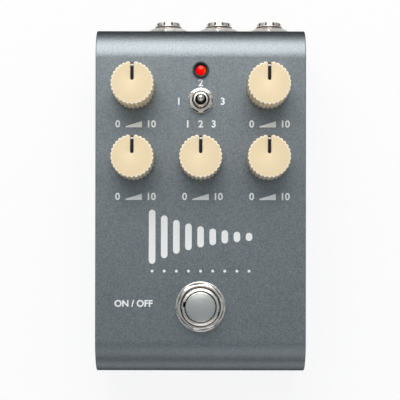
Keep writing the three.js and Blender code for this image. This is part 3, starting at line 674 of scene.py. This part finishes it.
# Board and what stands on it
# A green laminate board with the potentiometers and the toggle above and the jacks below, a black
# processor and a sleeved capacitor. All of it is inside the closed case.
laminate = new_material("green_laminate", (0.012, 0.1, 0.045), 0.35, (900, 0.25, 0.08, 0.06, 0.01))
chip_resin = new_material("black_resin", (0.02, 0.02, 0.021), 0.55, (4000, 0.3, 0.05, 0.06, 0.01))
sleeve = new_material("blue_sleeve", (0.03, 0.11, 0.28), 0.3, (1200, 0.05, 0.05, 0.05, 0.01))
aluminium = new_material(
    "turned_aluminium", (0.6, 0.61, 0.63), 0.33, (3000, 0.05, 0.06, 0.08, 0.006), metallic=1
)
kept_nodes = {"main_board": laminate, "signal_processor": chip_resin, "supply_capacitor": sleeve}
for knob in knobs:
    kept_nodes[f"pot_body_{knob}"] = chip_resin
    kept_nodes[f"pot_shaft_{knob}"] = aluminium
for node, material in kept_nodes.items():
    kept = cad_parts[node].data.materials
    kept.clear()
    kept.append(material)


# Lead
# A black vinyl-sleeved lead that is soldered to the footswitch and to the board, and runs clear of the
# jacks in one bend.
lead_low, lead_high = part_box("switch_lead")
lead_radius = box_radius("switch_lead")
lead_level = lead_low.z + lead_radius
lead_back = lead_high.y - lead_radius
toward_bend = 2 / 3

lead = started(bpy.ops.curve.primitive_bezier_curve_add, "lead_wire", location=(0, 0, 0))
first, last = lead.data.splines[0].bezier_points
for point in (first, last):
    point.handle_left_type = point.handle_right_type = "FREE"
first.co = (0, lead_low.y, lead_level)
first.handle_right = (0, lead_low.y + (lead_back - lead_low.y) * toward_bend, lead_level)
first.handle_left = (0, lead_low.y - lead_radius, lead_level)
last.co = (0, lead_back, lead_high.z)
last.handle_left = (0, lead_back, lead_high.z + (lead_level - lead_high.z) * toward_bend)
last.handle_right = (0, lead_back, lead_high.z + lead_radius)
lead.data.dimensions = "3D"
lead.data.resolution_u = 24
lead.data.bevel_depth = lead_radius * 0.97
lead.data.bevel_resolution = 6
lead.data.use_fill_caps = True
bpy.ops.object.convert(target="MESH")
lead_vinyl = new_material("lead_vinyl", (0.016, 0.016, 0.017), 0.45, (2000, 0.1, 0.05, 0.06, 0.01))
dress(placed(bpy.context.object), lead_vinyl, "switch_lead")


# Knobs
# Each knob is a cream grip moulded with thirty round ribs, and a black core pressed in from below.
# The grip is slotted through its crown and rim, and the core's fin fills the slot as the pointer.
rib_count = 30
rib_radius = 0.67 * mm
rib_steps = 8
knob_draft = 0.02 * mm
crown_edge = 0.18 * mm
crown_wall = 2 * mm
core_radius = 4.3 * mm
core_gap = 0.15 * mm
core_sunk = 0.3 * mm
slot_width = 1.1 * mm
slot_start = 0.85 * mm
fin_gap = 0.05 * mm
fin_reach = 6.5 * mm
fin_edge = 1.45 * mm
shaft_radius = 3 * mm
shaft_flat = 1.5 * mm
shaft_depth = 8.6 * mm
recess_radius = 3.8 * mm
recess_top = 0.8 * mm
rim_width = 0.28 * mm


def soften(piece, width, degrees):
    """Rounds every edge of a finished piece that is sharper than an angle."""
    sharper = math.radians(degrees)
    apply_modifier(piece, "BEVEL", width=width, segments=2, limit_method="ANGLE", angle_limit=sharper)


grip_low, grip_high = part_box("knob_grip_front_middle")
grip_radius = box_radius("knob_grip_front_middle")
grip_height = grip_high.z - grip_low.z
grip = started(bpy.ops.mesh.primitive_plane_add, "grip", size=mm, location=(0, 0, 0))
bpy.ops.object.mode_set(mode="EDIT")
bpy.ops.mesh.select_mode(type="VERT")
bpy.ops.mesh.select_all(action="SELECT")
bpy.ops.mesh.merge(type="CENTER")
# The valley between two ribs lies where their arcs meet, half a pitch round from the rib
rib_middle = grip_radius - rib_radius
half_pitch = math.pi / rib_count
chord = rib_middle * math.sin(half_pitch)
valley = rib_middle * math.cos(half_pitch) + math.sqrt(rib_radius ** 2 - chord ** 2)
start = (valley * math.sin(half_pitch), valley * math.cos(half_pitch), 0)
sweep = 2 * math.atan2(start[0], start[1] - rib_middle)
bpy.ops.transform.translate(value=start)
bpy.ops.mesh.spin(steps=rib_steps, angle=-sweep, center=(0, rib_middle, 0), axis=(0, 0, 1))
bpy.ops.mesh.select_all(action="SELECT")
bpy.ops.mesh.spin(steps=rib_count, angle=2 * math.pi, dupli=True, center=(0, 0, 0), axis=(0, 0, 1))
merge_doubles(0.005 * mm)
bpy.ops.mesh.edge_face_add()
top_radius = grip_radius - knob_draft
extrude_rings([
    (grip_radius, 0), (top_radius, grip_height - crown_edge),
    *arc(top_radius - crown_edge, grip_height - crown_edge, crown_edge, 0, 90, 4)[1:],
    (top_radius - crown_edge - rim_width, grip_height),
])
finished(grip)
cut(grip, rod("bore", core_radius + core_gap, -mm, grip_height - crown_wall, 64))
half_slot = slot_width / 2
slot = box_piece("slot", (-half_slot, slot_start, -mm), (half_slot, grip_radius + mm, grip_height + mm))
round_edges(slot, slot_width * 0.499, 10, lambda a, b: upright(a, b) and near(a.y, slot_start))
cut(grip, placed(slot))
soften(grip, 0.07 * mm, 50)

core = rod("core", core_radius, core_sunk, grip_height - crown_wall - core_gap, 64)
fin_top = grip_height - fin_gap
fin_start = slot_start + fin_gap
fin_width = slot_width - 2 * fin_gap
fin = box_piece("fin", (-fin_width / 2, fin_start, core_sunk), (fin_width / 2, fin_reach, fin_top))
round_edges(fin, fin_edge, 8, lambda a, b: (
    at_level(fin_top)(a, b) and near(a.y, fin_reach) and near(a.y, b.y)
))
round_edges(fin, fin_width * 0.499, 8, lambda a, b: upright(a, b) and near(a.y, fin_start))
combine(core, placed(fin), "UNION")
cut(core, rod("recess", recess_radius, -mm, recess_top, 48))
shaft_bore = rod("shaft_bore", shaft_radius + core_gap, -mm, shaft_depth, 48)
flat_low = (-core_radius, shaft_flat + core_gap, -mm)
cut(shaft_bore, placed(box_piece("flat", flat_low, (core_radius, core_radius, grip_height))))
cut(core, shaft_bore)
soften(core, 0.06 * mm, 50)

cream = new_material("moulded_cream", (0.835, 0.672, 0.43), 0.5, (2500, 0.012, 0.02, 0.05, 0.004), others={
    "Subsurface Weight": 0.06, "Subsurface Radius": (1.0, 0.7, 0.4), "Subsurface Scale": 0.8 * mm,
})
# A lighter cream: a painted highlight on the crown's rim and painted light on the ribbed sides
cream_painted_highlight = new_material("cream_painted_highlight", (0.95, 0.82, 0.62), 0.45, (2500, 0.02, 0.02, 0.05, 0.004))
black_plastic = new_material(
    "moulded_black", (0.005, 0.004, 0.004), 0.16, (3000, 0.1, 0.05, 0.06, 0.004),
    others={"Specular IOR Level": 0.6},
)
polished_black = new_material(
    "polished_black", (0.01, 0.009, 0.008), 0.12, (3000, 0.1, 0.05, 0.03, 0.002),
    others={"Coat Weight": 1, "Coat IOR": 2.3, "Coat Roughness": 0.12},
)


def reach(at, spot=(0, 0)):
    """How far a place is from an upright axis."""
    return math.hypot(at[0] - spot[0], at[1] - spot[1])


def coat(piece, material, *patches):
    """Gives a piece its material, and others to faces whose middle and direction pass a test."""
    piece.data.materials.append(material)
    for other, wanted in patches:
        piece.data.materials.append(other)
        for face in piece.data.polygons:
            if wanted(face.center, face.normal):
                face.material_index = len(piece.data.materials) - 1


# The crown's rim takes the lighter cream as a painted highlight, and the ribbed sides take it as painted
# light
coat(grip, cream, (cream_painted_highlight, lambda at, out: (
    reach(at) > grip_radius - rib_radius - crown_edge - rim_width
    and (at.z > grip_height - crown_edge and out.z > 0.3 or abs(out.z) < 0.3)
)))
coat(core, black_plastic, (polished_black, lambda at, out: (
    at.y > fin_reach - fin_edge and 0.12 < out.y < 0.55 and out.z > 0.3
)))
for knob, spot in knob_spots.items():
    for piece, name, material, slot, node, smooth in [
        (grip, "grip", cream, "cream_plastic", "knob_grip", 50),
        (core, "pointer", black_plastic, "black_plastic", "knob_core", 40),
    ]:
        copied = piece.copy()
        copied.data = piece.data.copy()
        copied.name = copied.data.name = f"{name}_{knob}"
        bpy.context.collection.objects.link(copied)
        placed(copied, (spot.x, spot.y, grip_low.z))
        dress(copied, material, f"{node}_{knob}", f"knob_{knob}", smooth)
bpy.data.objects.remove(grip)
bpy.data.objects.remove(core)


# Toggle
# A miniature three-position switch: a nickel-plated case and threaded bush, held to the panel by a
# washer and a hexagon nut, with a slim chromed bat that tilts on a ball inside the bush.

# Fine rings left by the lathe, round the Z axis of the vector that comes in
turning_marks, given, result = new_group("turning_marks", [
    ("Vector", vector, None), ("Rings Per Metre", number, 9000), ("Relief", number, 0.004 * mm),
], [("Mask", number), ("Normal", vector)])
tree = turning_marks
level = add_node(tree, "ShaderNodeVectorMath", {0: given["Vector"], 1: (1, 1, 0)}, operation="MULTIPLY")
radius = add_node(tree, "ShaderNodeVectorMath", {0: level}, operation="LENGTH").outputs["Value"]
marks = add_node(tree, "ShaderNodeTexNoise", {
    "W": radius, "Scale": given["Rings Per Metre"], "Detail": 4, "Roughness": 0.7,
}, noise_dimensions="1D")
relief = add_node(tree, "ShaderNodeBump", {"Height": marks, "Distance": given["Relief"]})
set_sockets(result, {"Mask": marks, "Normal": relief})


def turned_metal(name, color, roughness, grain, centre, turn=(0, 0, 0), relief=0.003):
    """A metal with grain, and lathe marks in relief, in mm, round an axis through a place."""
    made = new_material(name, color, roughness, grain, metallic=1)
    tree = made.node_tree
    about = {0: add_node(tree, "ShaderNodeTexCoord").outputs["Object"], "Location": centre, "Rotation": turn}
    axis = add_node(tree, "ShaderNodeMapping", about, vector_type="TEXTURE")
    given = {"Vector": axis, "Relief": relief * mm}
    marks = add_node(tree, "ShaderNodeGroup", given, node_tree=turning_marks).outputs
    set_sockets(tree.nodes["Principled BSDF"], {"Normal": marks["Normal"]})
    return made


nickel = (0.77, 0.72, 0.675)
nickel_roughness = 0.22
nickel_grain = (900, 0.16, 0.1, 0.1, 0.003)
toggle_nickel = turned_metal("toggle_nickel", nickel, nickel_roughness, nickel_grain, toggle_spot)

bush_low, bush_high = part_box("toggle_body")
bush_top = bush_high.z
toggle_bush_radius = 2.4 * mm
toggle_thread = 0.18 * mm
mouth_radius = 1.75 * mm
mouth_floor = panel_top - 0.5 * mm
lip_slope = math.tan(math.radians(23))


def lip(outer, inner, top):
    """Rings over the end of a bush, from outside in: two slopes that meet in a soft ridge."""
    ridge = (outer + inner) / 2
    half = (outer - inner) / 2
    soft = 0.05 * mm
    foot = top - half * lip_slope - 0.06 * mm
    slope_foot = top - (half - soft) * lip_slope
    return [
        (outer, foot), (outer - soft, slope_foot), (ridge + soft, top - 0.015 * mm),
        (ridge, top), (ridge - soft, top - 0.015 * mm), (inner + soft, slope_foot),
        (inner, foot),
    ]


def rounded_block(name, low, high, radius, steps):
    """A block between two corners, with its upright edges rounded."""
    block = box_piece(name, low, high)
    round_edges(block, radius, steps, upright)
    return placed(block)


toggle_high = (bush_high.x, bush_high.y, panel_under)
toggle_case = rounded_block("toggle_switch", bush_low, toggle_high, 0.3 * mm, 3)
combine(toggle_case, turned("bush", [
    (toggle_bush_radius - 0.2 * mm, panel_under - mm),
    *thread(toggle_bush_radius, panel_under, bush_top - 0.5 * mm, 0.6 * mm, toggle_thread),
    *lip(toggle_bush_radius - toggle_thread, mouth_radius, bush_top),
    (mouth_radius, mouth_floor),
], 72, toggle_spot), "UNION")

# Near-black painted shade for the inside of bores and the keyway, where little light reaches
bore_painted_shade = new_material("bore_painted_shade", (0.012, 0.011, 0.01), 0.45, (1500, 0.3, 0.2, 0.08, 0.006))
# A brighter nickel, a painted highlight on the upward faces of the bushes' lips
lip_painted_highlight = new_material("lip_painted_highlight", (0.95, 0.92, 0.88), 0.3, (1500, 0.04, 0.03, 0.05, 0.002), metallic=1)
# A darker nickel, painted shade for the walls of nut and bush bores
hollow_painted_shade = new_material(
    "nickel_painted_shade", (0.25, 0.2, 0.17), 0.35, (1500, 0.25, 0.15, 0.08, 0.004), metallic=1
)
# Near-black painted shade round the seats of nuts and in the jacks' grooves and notches
recess_painted_shade = new_material("recess_painted_shade", (0.035, 0.024, 0.02), 0.5, (1500, 0.3, 0.2, 0.08, 0.006))
coat(
    toggle_case, toggle_nickel,
    # The bore's walls take near-black painted shade
    (bore_painted_shade, lambda at, out: (
        reach(at, toggle_spot) < mouth_radius + 0.01 * mm and panel_under < at.z < bush_top
    )),
    # The top of the lip takes the brighter nickel as a painted highlight
    (lip_painted_highlight, lambda at, out: (
        out.z > 0.5 and at.z > bush_top - 0.3 * mm and reach(at, toggle_spot) > mouth_radius
    )),
)
dress(toggle_case, toggle_nickel, "toggle_body", smooth=32)


def washer(name, node, bore, edge, sides, seat):
    """A flat ring with softened rims in a node's place, with near-black painted shade inside the radius of
    its seat.
    """
    low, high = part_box(node)
    outer = box_radius(node)
    spot = middle_of(node)
    ring = turned(name, [
        (bore, low.z), (outer, low.z), (outer, high.z - edge),
        (outer - 0.3 * edge, high.z - 0.3 * edge), (outer - edge, high.z), (seat, high.z),
        (bore, high.z), (bore, low.z),
    ], sides, spot)
    coat(ring, toggle_nickel, (recess_painted_shade, lambda at, out: out.z > 0.9 and reach(at, spot) < seat))
    dress(ring, toggle_nickel, node)


def hexagon_nut(name, metal, flats, corner, bore, low, high, degrees, slope):
    """A hexagon nut on its own axis, its upper end coned and its corners turned off steeper."""
    nut = rod(name, flats / 2 / math.cos(math.pi / 6), low, high, 6)
    placed(nut, turn=(0, 0, math.radians(degrees)))
    chamfer = 0.25 * mm
    top_radius = bore + chamfer + 0.1 * mm
    shoulder = flats / 2 + 0.12 * mm
    cone_drop = (shoulder - top_radius) * math.tan(math.radians(slope))
    corner_drop = (corner - shoulder) * math.tan(math.radians(32))
    combine(nut, turned("blank", [
        (corner - 0.15 * mm, low), (corner, low + 0.1 * mm),
        (corner, high - cone_drop - corner_drop), (shoulder, high - cone_drop),
        (top_radius, high),
    ], 120), "INTERSECT")
    cut(nut, turned("hole", [
        (bore, low - mm), (bore, high - chamfer), (bore + chamfer + mm, high + mm),
    ], 72))
    soften(nut, 0.05 * mm, 25)
    # The nut's bore takes the darker nickel as painted shade
    coat(nut, metal, (hollow_painted_shade, lambda at, out: reach(at) < bore + chamfer - 0.03 * mm))
    return nut


def panel_nut(name, node, metal, flats, corner, bore, degrees, slope):
    """A hexagon nut in the place of a node on the panel."""
    low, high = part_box(node)
    nut = hexagon_nut(name, metal, flats, corner, bore, low.z, high.z, degrees, slope)
    spot = middle_of(node)
    dress(placed(nut, (spot.x, spot.y, 0)), metal, node, smooth=28)


washer("toggle_ring", "toggle_washer", toggle_hole, 0.12 * mm, 96, seat=3.83 * mm)
panel_nut("toggle_hexagon", "toggle_nut", toggle_nickel, 7 * mm, 4 * mm, toggle_hole, degrees=0, slope=2)

bat_low, bat_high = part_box("toggle_lever")
ball_radius = 1.5 * mm
neck_radius = 0.75 * mm
tip_radius = 1.12 * mm
pivot_height = bat_low.z + ball_radius
neck_angle = math.degrees(math.acos(neck_radius / ball_radius))
bat = turned("toggle_bat", [
    *arc(0, pivot_height, ball_radius, -84, neck_angle, 14),
    (neck_radius + 0.02 * mm, pivot_height + ball_radius + 0.2 * mm),
    (tip_radius - 0.1 * mm, bat_high.z - 2.2 * tip_radius),
    (tip_radius, bat_high.z - 1.5 * tip_radius),
    *arc(0, bat_high.z - tip_radius, tip_radius, 0, 84, 10),
], 48, toggle_spot)
chrome = new_material("polished_chrome", (0.74, 0.74, 0.74), 0.17, (700, 0.02, 0.03, 0.03, 0.001), metallic=1)
dress(bat, chrome, "toggle_lever", body="toggle_lever")


# Indicator lamp
# A 3 mm red light-emitting diode, domed and lit, whose legs stand on the board, in a black bezel
# that clips into the panel.
lamp_spot = middle_of("lamp_bezel")
lens_low, lens_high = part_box("indicator_lamp")
bezel_low, bezel_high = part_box("lamp_bezel")
lens_radius = 1.6 * mm
flange_radius = box_radius("indicator_lamp")
dome_centre = lens_high.z - lens_radius
flange_top = dome_centre - 1.8 * mm
leg_width = 0.5 * mm
leg_spacing = 1.8 * mm
lens = turned("lamp_lens", [
    (flange_radius, flange_top - mm), (flange_radius, flange_top), (lens_radius, flange_top),
    *arc(0, dome_centre, lens_radius, 0, 86, 14),
], 64, lamp_spot)
for side in (-1, 1):
    leg_x = lamp_spot.x + side * leg_spacing / 2
    leg_low = (leg_x - leg_width / 2, lamp_spot.y - leg_width / 2, lens_low.z)
    leg_high = (leg_x + leg_width / 2, lamp_spot.y + leg_width / 2, flange_top - 0.5 * mm)
    combine(lens, placed(box_piece("leg", leg_low, leg_high)), "UNION")

# The glow is deeper in the middle of the dome and lighter and more orange towards its right side, with a
# pinkish painted reflection of the rear light near its top and a dark foot
red_lens = new_material("lit_red_lens", (0.35, 0.001, 0.001), 0.14, (1500, 0.02, 0.02, 0.02, 0.0005), others={
    "Specular IOR Level": 0.1, "Emission Strength": 0.88,
})
painted_reflection_spot = (lamp_spot.x, lamp_spot.y + 0.85 * mm, lens_high.z - 0.3 * mm)
tree = red_lens.node_tree
place = add_node(tree, "ShaderNodeTexCoord").outputs["Object"]
along = add_node(tree, "ShaderNodeSeparateXYZ", {0: place}).outputs
across = add_node(tree, "ShaderNodeMapRange", {0: along["X"], 1: 0.7 * mm, 2: lens_radius, 3: 0, 4: 1})
reflection_distance = add_node(tree, "ShaderNodeVectorMath", {0: place, 1: painted_reflection_spot}, operation="DISTANCE")
reflection_share = add_node(tree, "ShaderNodeMapRange", {
    0: reflection_distance.outputs["Value"], 1: 0.35 * mm, 2: 1.05 * mm, 3: 1, 4: 0,
}, interpolation_type="SMOOTHSTEP")
foot_share = add_node(tree, "ShaderNodeMapRange", {
    0: along["Z"], 1: dome_centre, 2: dome_centre + 0.6 * mm, 3: 1, 4: 0,
})
glow = (1, 0.001, 0.001, 1)
for share, color in [
    (across, (1, 0.1, 0.004, 1)), (reflection_share, (0.95, 0.16, 0.12, 1)), (foot_share, (0.2, 0.001, 0.001, 1)),
]:
    mix = add_node(tree, "ShaderNodeMix", data_type="RGBA")
    glow = set_sockets(mix, {"Factor": share, 6: glow, 7: color}).outputs[2]
set_sockets(tree.nodes["Principled BSDF"], {"Emission Color": glow})
dress(lens, red_lens, "indicator_lamp")
# The lamp glows too faintly to light the bezel beside the studio lamps
lens.visible_diffuse = lens.visible_glossy = False

bezel_radius = box_radius("lamp_bezel")
bezel_bore = 1.72 * mm
sleeve_radius = 2.05 * mm
bezel_rim = 0.35 * mm
bezel_mouth = 2.1 * mm
mouth_bottom = bezel_high.z - 1.3 * mm
bezel = turned("lamp_ring", [
    (bezel_bore, bezel_low.z), (sleeve_radius, bezel_low.z), (sleeve_radius, panel_top),
    (bezel_radius, panel_top),
    *arc(bezel_radius - bezel_rim, bezel_high.z - bezel_rim, bezel_rim, 0, 90, 6),
    (bezel_mouth + 0.08 * mm, bezel_high.z), (bezel_mouth, bezel_high.z - 0.1 * mm),
    (bezel_bore + 0.1 * mm, mouth_bottom), (bezel_bore, mouth_bottom - 0.1 * mm),
    (bezel_bore, bezel_low.z),
], 96, lamp_spot)
bezel_plastic = new_material(
    "bezel_plastic", (0.055, 0.056, 0.06), 0.6, (3000, 0.1, 0.05, 0.06, 0.006),
    others={"Specular IOR Level": 0.25},
)
dress(bezel, bezel_plastic, "lamp_bezel")


# Footswitch
# A heavy push switch: a square nickel-plated case under the panel, a 12 mm threaded bush with an inner
# keyway, a washer and a hexagon nut, and a satin button that slides on a coil spring.
body_low, body_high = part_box("footswitch_body")
button_low, button_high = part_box("footswitch_button")
switch_nickel = turned_metal("switch_nickel", nickel, nickel_roughness, nickel_grain, switch_spot)
switch_bush_radius = 6 * mm
switch_bore = 5 * mm
bore_floor = body_high.z - 9.2 * mm
stem_radius = 2.4 * mm
stem_length = 11 * mm
stem_bore = stem_radius + 0.25 * mm
stem_floor = button_low.z - 2.3 * mm
key_width = 1.6 * mm
key_depth = 0.55 * mm
key_turn = math.radians(-8.6)
switch_thread = 0.24 * mm

switch_high = (body_high.x, body_high.y, panel_under)
switch_case = rounded_block("switch_body", body_low, switch_high, 1.5 * mm, 6)
combine(switch_case, turned("bush", [
    (switch_bush_radius - 0.3 * mm, panel_under - mm),
    *thread(switch_bush_radius, panel_under, body_high.z - 0.5 * mm, 0.75 * mm, switch_thread),
    *lip(switch_bush_radius - switch_thread, switch_bore, body_high.z),
    (switch_bore, bore_floor),
], 96, switch_spot), "UNION")
cut(switch_case, rod("stem_hole", stem_bore, stem_floor, bore_floor + mm, 48, switch_spot))
key_low = (-switch_bore - key_depth, -key_width / 2, panel_top)
key_high = (key_depth - switch_bore, key_width / 2, body_high.z + mm)
key = placed(box_piece("key", key_low, key_high))
cut(switch_case, placed(key, (switch_spot.x, switch_spot.y, 0), (0, 0, key_turn)))
bore_skin = switch_bore + 0.02 * mm
coat(
    switch_case, switch_nickel,
    # The bush's bore takes the darker nickel as painted shade
    (hollow_painted_shade, lambda at, out: reach(at, switch_spot) < bore_skin and at.z > panel_under - wall),
    # The keyway takes near-black painted shade
    (bore_painted_shade, lambda at, out: (
        at.z < body_high.z - 0.1 * mm
        and bore_skin < reach(at, switch_spot) < switch_bore + key_depth + 0.02 * mm
    )),
    # The top of the lip takes the brighter nickel as a painted highlight
    (lip_painted_highlight, lambda at, out: (
        out.z > 0.5 and at.z > body_high.z - 0.3 * mm and reach(at, switch_spot) > switch_bore
    )),
)
dress(switch_case, switch_nickel, "footswitch_body", smooth=32)
washer("switch_ring", "footswitch_washer", switch_hole, 0.18 * mm, 128, seat=7.35 * mm)
panel_nut(
    "switch_hexagon", "footswitch_nut", switch_nickel, 14 * mm, 7.8 * mm, switch_hole,
    degrees=9.4 - 30, slope=8,
)

button_radius = box_radius("footswitch_button")
button_edge = 0.42 * mm
button_shoulder = button_low.z + stem_length
crown_drop = 0.42 * mm
crown_radius = button_radius - button_edge
crown_middle = button_high.z - (crown_radius ** 2 + crown_drop ** 2) / (2 * crown_drop)
crown_ball = button_high.z - crown_middle
crown_start = math.degrees(math.acos(crown_radius / crown_ball))
button = turned("switch_button", [
    (stem_radius - 0.2 * mm, button_low.z), (stem_radius, button_low.z + 0.2 * mm),
    (stem_radius, button_shoulder), (button_radius - 0.15 * mm, button_shoulder),
    (button_radius, button_shoulder + 0.15 * mm),
    *arc(crown_radius, button_high.z - crown_drop - button_edge, button_edge, 0, 80, 6),
    *arc(0, crown_middle, crown_ball, crown_start, 89.5, 12),
], 128, switch_spot)
satin = turned_metal(
    "satin_nickel", (0.59, 0.585, 0.57), 0.3, (4500, 0.05, 0.02, 0.04, 0.004), switch_spot, relief=0.0015
)
dress(button, satin, "footswitch_button", body="footswitch_button", smooth=30)

spring_low, spring_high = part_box("footswitch_spring")
spring_height = spring_high.z - spring_low.z
spring_radius = 3.65 * mm
spring_turns = 3
wire_radius = 0.3 * mm
coil = started(
    add_circle, "switch_coil", vertices=16, radius=wire_radius, fill_type="NGON",
    location=(spring_radius, 0, wire_radius), rotation=(math.pi / 2, 0, 0),
)
placed(coil)
apply_modifier(
    coil, "SCREW", angle=2 * math.pi * spring_turns, screw_offset=spring_height - 2 * wire_radius,
    steps=36 * spring_turns, render_steps=36 * spring_turns,
)
placed(coil, (switch_spot.x, switch_spot.y, spring_low.z))
spring_steel = new_material(
    "spring_wire", (0.5, 0.5, 0.52), 0.25, (2000, 0.06, 0.05, 0.05, 0.003), metallic=1
)
dress(coil, spring_steel, "footswitch_spring")
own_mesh(coil)


# Jacks
# Three panel jacks for quarter-inch plugs, in a row in the rear wall: a plated case behind the wall,
# a threaded bush with a castellated end and a black plastic throat, and a hexagon nut.
jack_bush_radius = 4.5 * mm
jack_bore = 3.25 * mm
jack_nut_height = 1.9 * mm
groove_top = jack_nut_height + 0.7 * mm
groove_radius = jack_bush_radius - 0.1 * mm
end_radius = 4 * mm
end_edge = 0.4 * mm
notch_count = 10
notch_width = 0.65 * mm
notch_depth = 1 * mm
notch_radial = 0.4 * mm
throat_radius = jack_bore - 0.02 * mm
throat_bore = jack_bore - 0.25 * mm
nut_turns = {"left": -7, "middle": -4, "right": -4}
jack_front, jack_end = [corner.y - rear_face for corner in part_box("jack_body_middle")]
throat_front = jack_front + 2 * mm
throat_end = jack_end - 1.1 * mm

throat_plastic = new_material("throat_plastic", (0.018, 0.018, 0.019), 0.4, (2500, 0.1, 0.05, 0.05, 0.006))
satin_jack_nickel = new_material(
    "satin_jack_nickel", (0.96, 0.89, 0.83), 0.45, (900, 0.08, 0.1, 0.08, 0.004), metallic=1
)
for jack in jacks:
    x = middle_of(f"jack_nut_{jack}").x
    node = f"jack_body_{jack}"
    jack_low, jack_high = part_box(node)
    half_width = box_radius(node)
    half_height = (jack_high.z - jack_low.z) / 2
    jack_nickel = turned_metal(
        f"jack_nickel_{jack}", (0.74, 0.69, 0.635), 0.45, nickel_grain, (x, rear_face, jack_axis),
        (math.pi / 2, 0, 0),
    )
    block_low, block_high = (-half_width, -half_height, jack_front), (half_width, half_height, -wall)
    jack_case = rounded_block(f"jack_{jack}", block_low, block_high, 0.5 * mm, 3)
    combine(jack_case, turned("bush", [
        (jack_bush_radius - 0.24 * mm, -wall - mm),
        *thread(jack_bush_radius, -wall, jack_nut_height, 0.75 * mm, 0.2 * mm),
        (groove_radius, jack_nut_height + 0.05 * mm), (groove_radius, groove_top - 0.15 * mm),
        (end_radius, groove_top), (end_radius, jack_end - end_edge),
        *arc(end_radius - end_edge, jack_end - end_edge, end_edge, 20, 90, 4),
        (jack_bore + 0.25 * mm, jack_end), (jack_bore, jack_end - 0.35 * mm),
        (jack_bore, jack_front + 1.5 * mm),
    ], 96), "UNION")
    notches = []
    for index in range(notch_count):
        notch_low = (end_radius - notch_radial, -notch_width / 2, jack_end - notch_depth)
        notch_high = (jack_bush_radius + mm, notch_width / 2, jack_end + mm)
        notch = placed(box_piece("notch", notch_low, notch_high))
        around = math.pi / 2 + (index + 0.5) * 2 * math.pi / notch_count
        notches.append(placed(notch, turn=(0, 0, around)))
    cut(jack_case, joined("notches", notches))
    soften(jack_case, 0.04 * mm, 45)
    # The groove and the walls of the notches take near-black painted shade
    coat(jack_case, jack_nickel, (recess_painted_shade, lambda at, out: (
        jack_bore + 0.05 * mm < reach(at) and abs(out.z) < 0.9 and (
            jack_nut_height < at.z < groove_top
            or at.z > groove_top and reach(at) < end_radius - 0.06 * mm and abs(out.z) < 0.3
        )
    )))
    dress(rearward(jack_case, x), jack_nickel, node, smooth=32)
    throat = turned(f"jack_throat_{jack}", [
        (throat_bore, throat_front), (throat_radius, throat_front), (throat_radius, throat_end),
        (throat_bore, throat_end - 0.2 * mm), (throat_bore, throat_front),
    ], 64)
    dress(rearward(throat, x), throat_plastic)
    nut = hexagon_nut(
        f"jack_hexagon_{jack}", satin_jack_nickel, 12 * mm, 6.8 * mm, jack_bush_radius + 0.12 * mm,
        0, jack_nut_height, nut_turns[jack], slope=25,
    )
    dress(rearward(nut, x), satin_jack_nickel, f"jack_nut_{jack}", smooth=28)


# Power inlet
# A moulded black socket for a barrel plug, flush with the rear wall, with a plated pin on its axis
# and a spring contact along its bore.
inlet_low, inlet_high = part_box("power_inlet")
inlet_x = middle_of("power_inlet").x
inlet_half = box_radius("power_inlet")
inlet_back = inlet_low.y - rear_face
inlet_mouth = 4.2 * mm
inlet_bore = 2.95 * mm
inlet_depth = 10.5 * mm
pin_radius = 1 * mm
pin_rim = 0.5 * mm
pin_shoulder = -1 * mm - pin_rim
socket_low = (-inlet_half, jack_axis - inlet_high.z, inlet_back)
socket_high = (inlet_half, jack_axis - inlet_low.z, -wall)
inlet_case = rounded_block("inlet_socket", socket_low, socket_high, 0.4 * mm, 3)
combine(inlet_case, turned("mouth", [
    (inlet_mouth, -wall - mm), (inlet_mouth, -0.2 * mm), (inlet_mouth - 0.2 * mm, 0),
    (inlet_bore + 0.3 * mm, 0), (inlet_bore, -0.3 * mm), (inlet_bore, -inlet_depth),
], 96), "UNION")
dress(rearward(inlet_case, inlet_x), throat_plastic, "power_inlet", smooth=32)
brass = new_material("plated_contact", (0.62, 0.58, 0.5), 0.28, (2500, 0.06, 0.08, 0.06, 0.004), metallic=1)
pin = turned("inlet_pin", [
    (pin_radius, -inlet_depth - 0.5 * mm), (pin_radius, pin_shoulder),
    *arc(pin_radius - pin_rim, pin_shoulder, pin_rim, 0, 85, 5),
], 48)
dress(rearward(pin, inlet_x), brass)
leaf = box_piece("inlet_contact", (-0.9 * mm, 2.5 * mm, -inlet_depth + mm), (0.9 * mm, 2.7 * mm, -1.6 * mm))
round_edges(leaf, 0.08 * mm, 2, lambda a, b: near(a.z, b.z))
placed(leaf)
dress(rearward(leaf, inlet_x), brass)
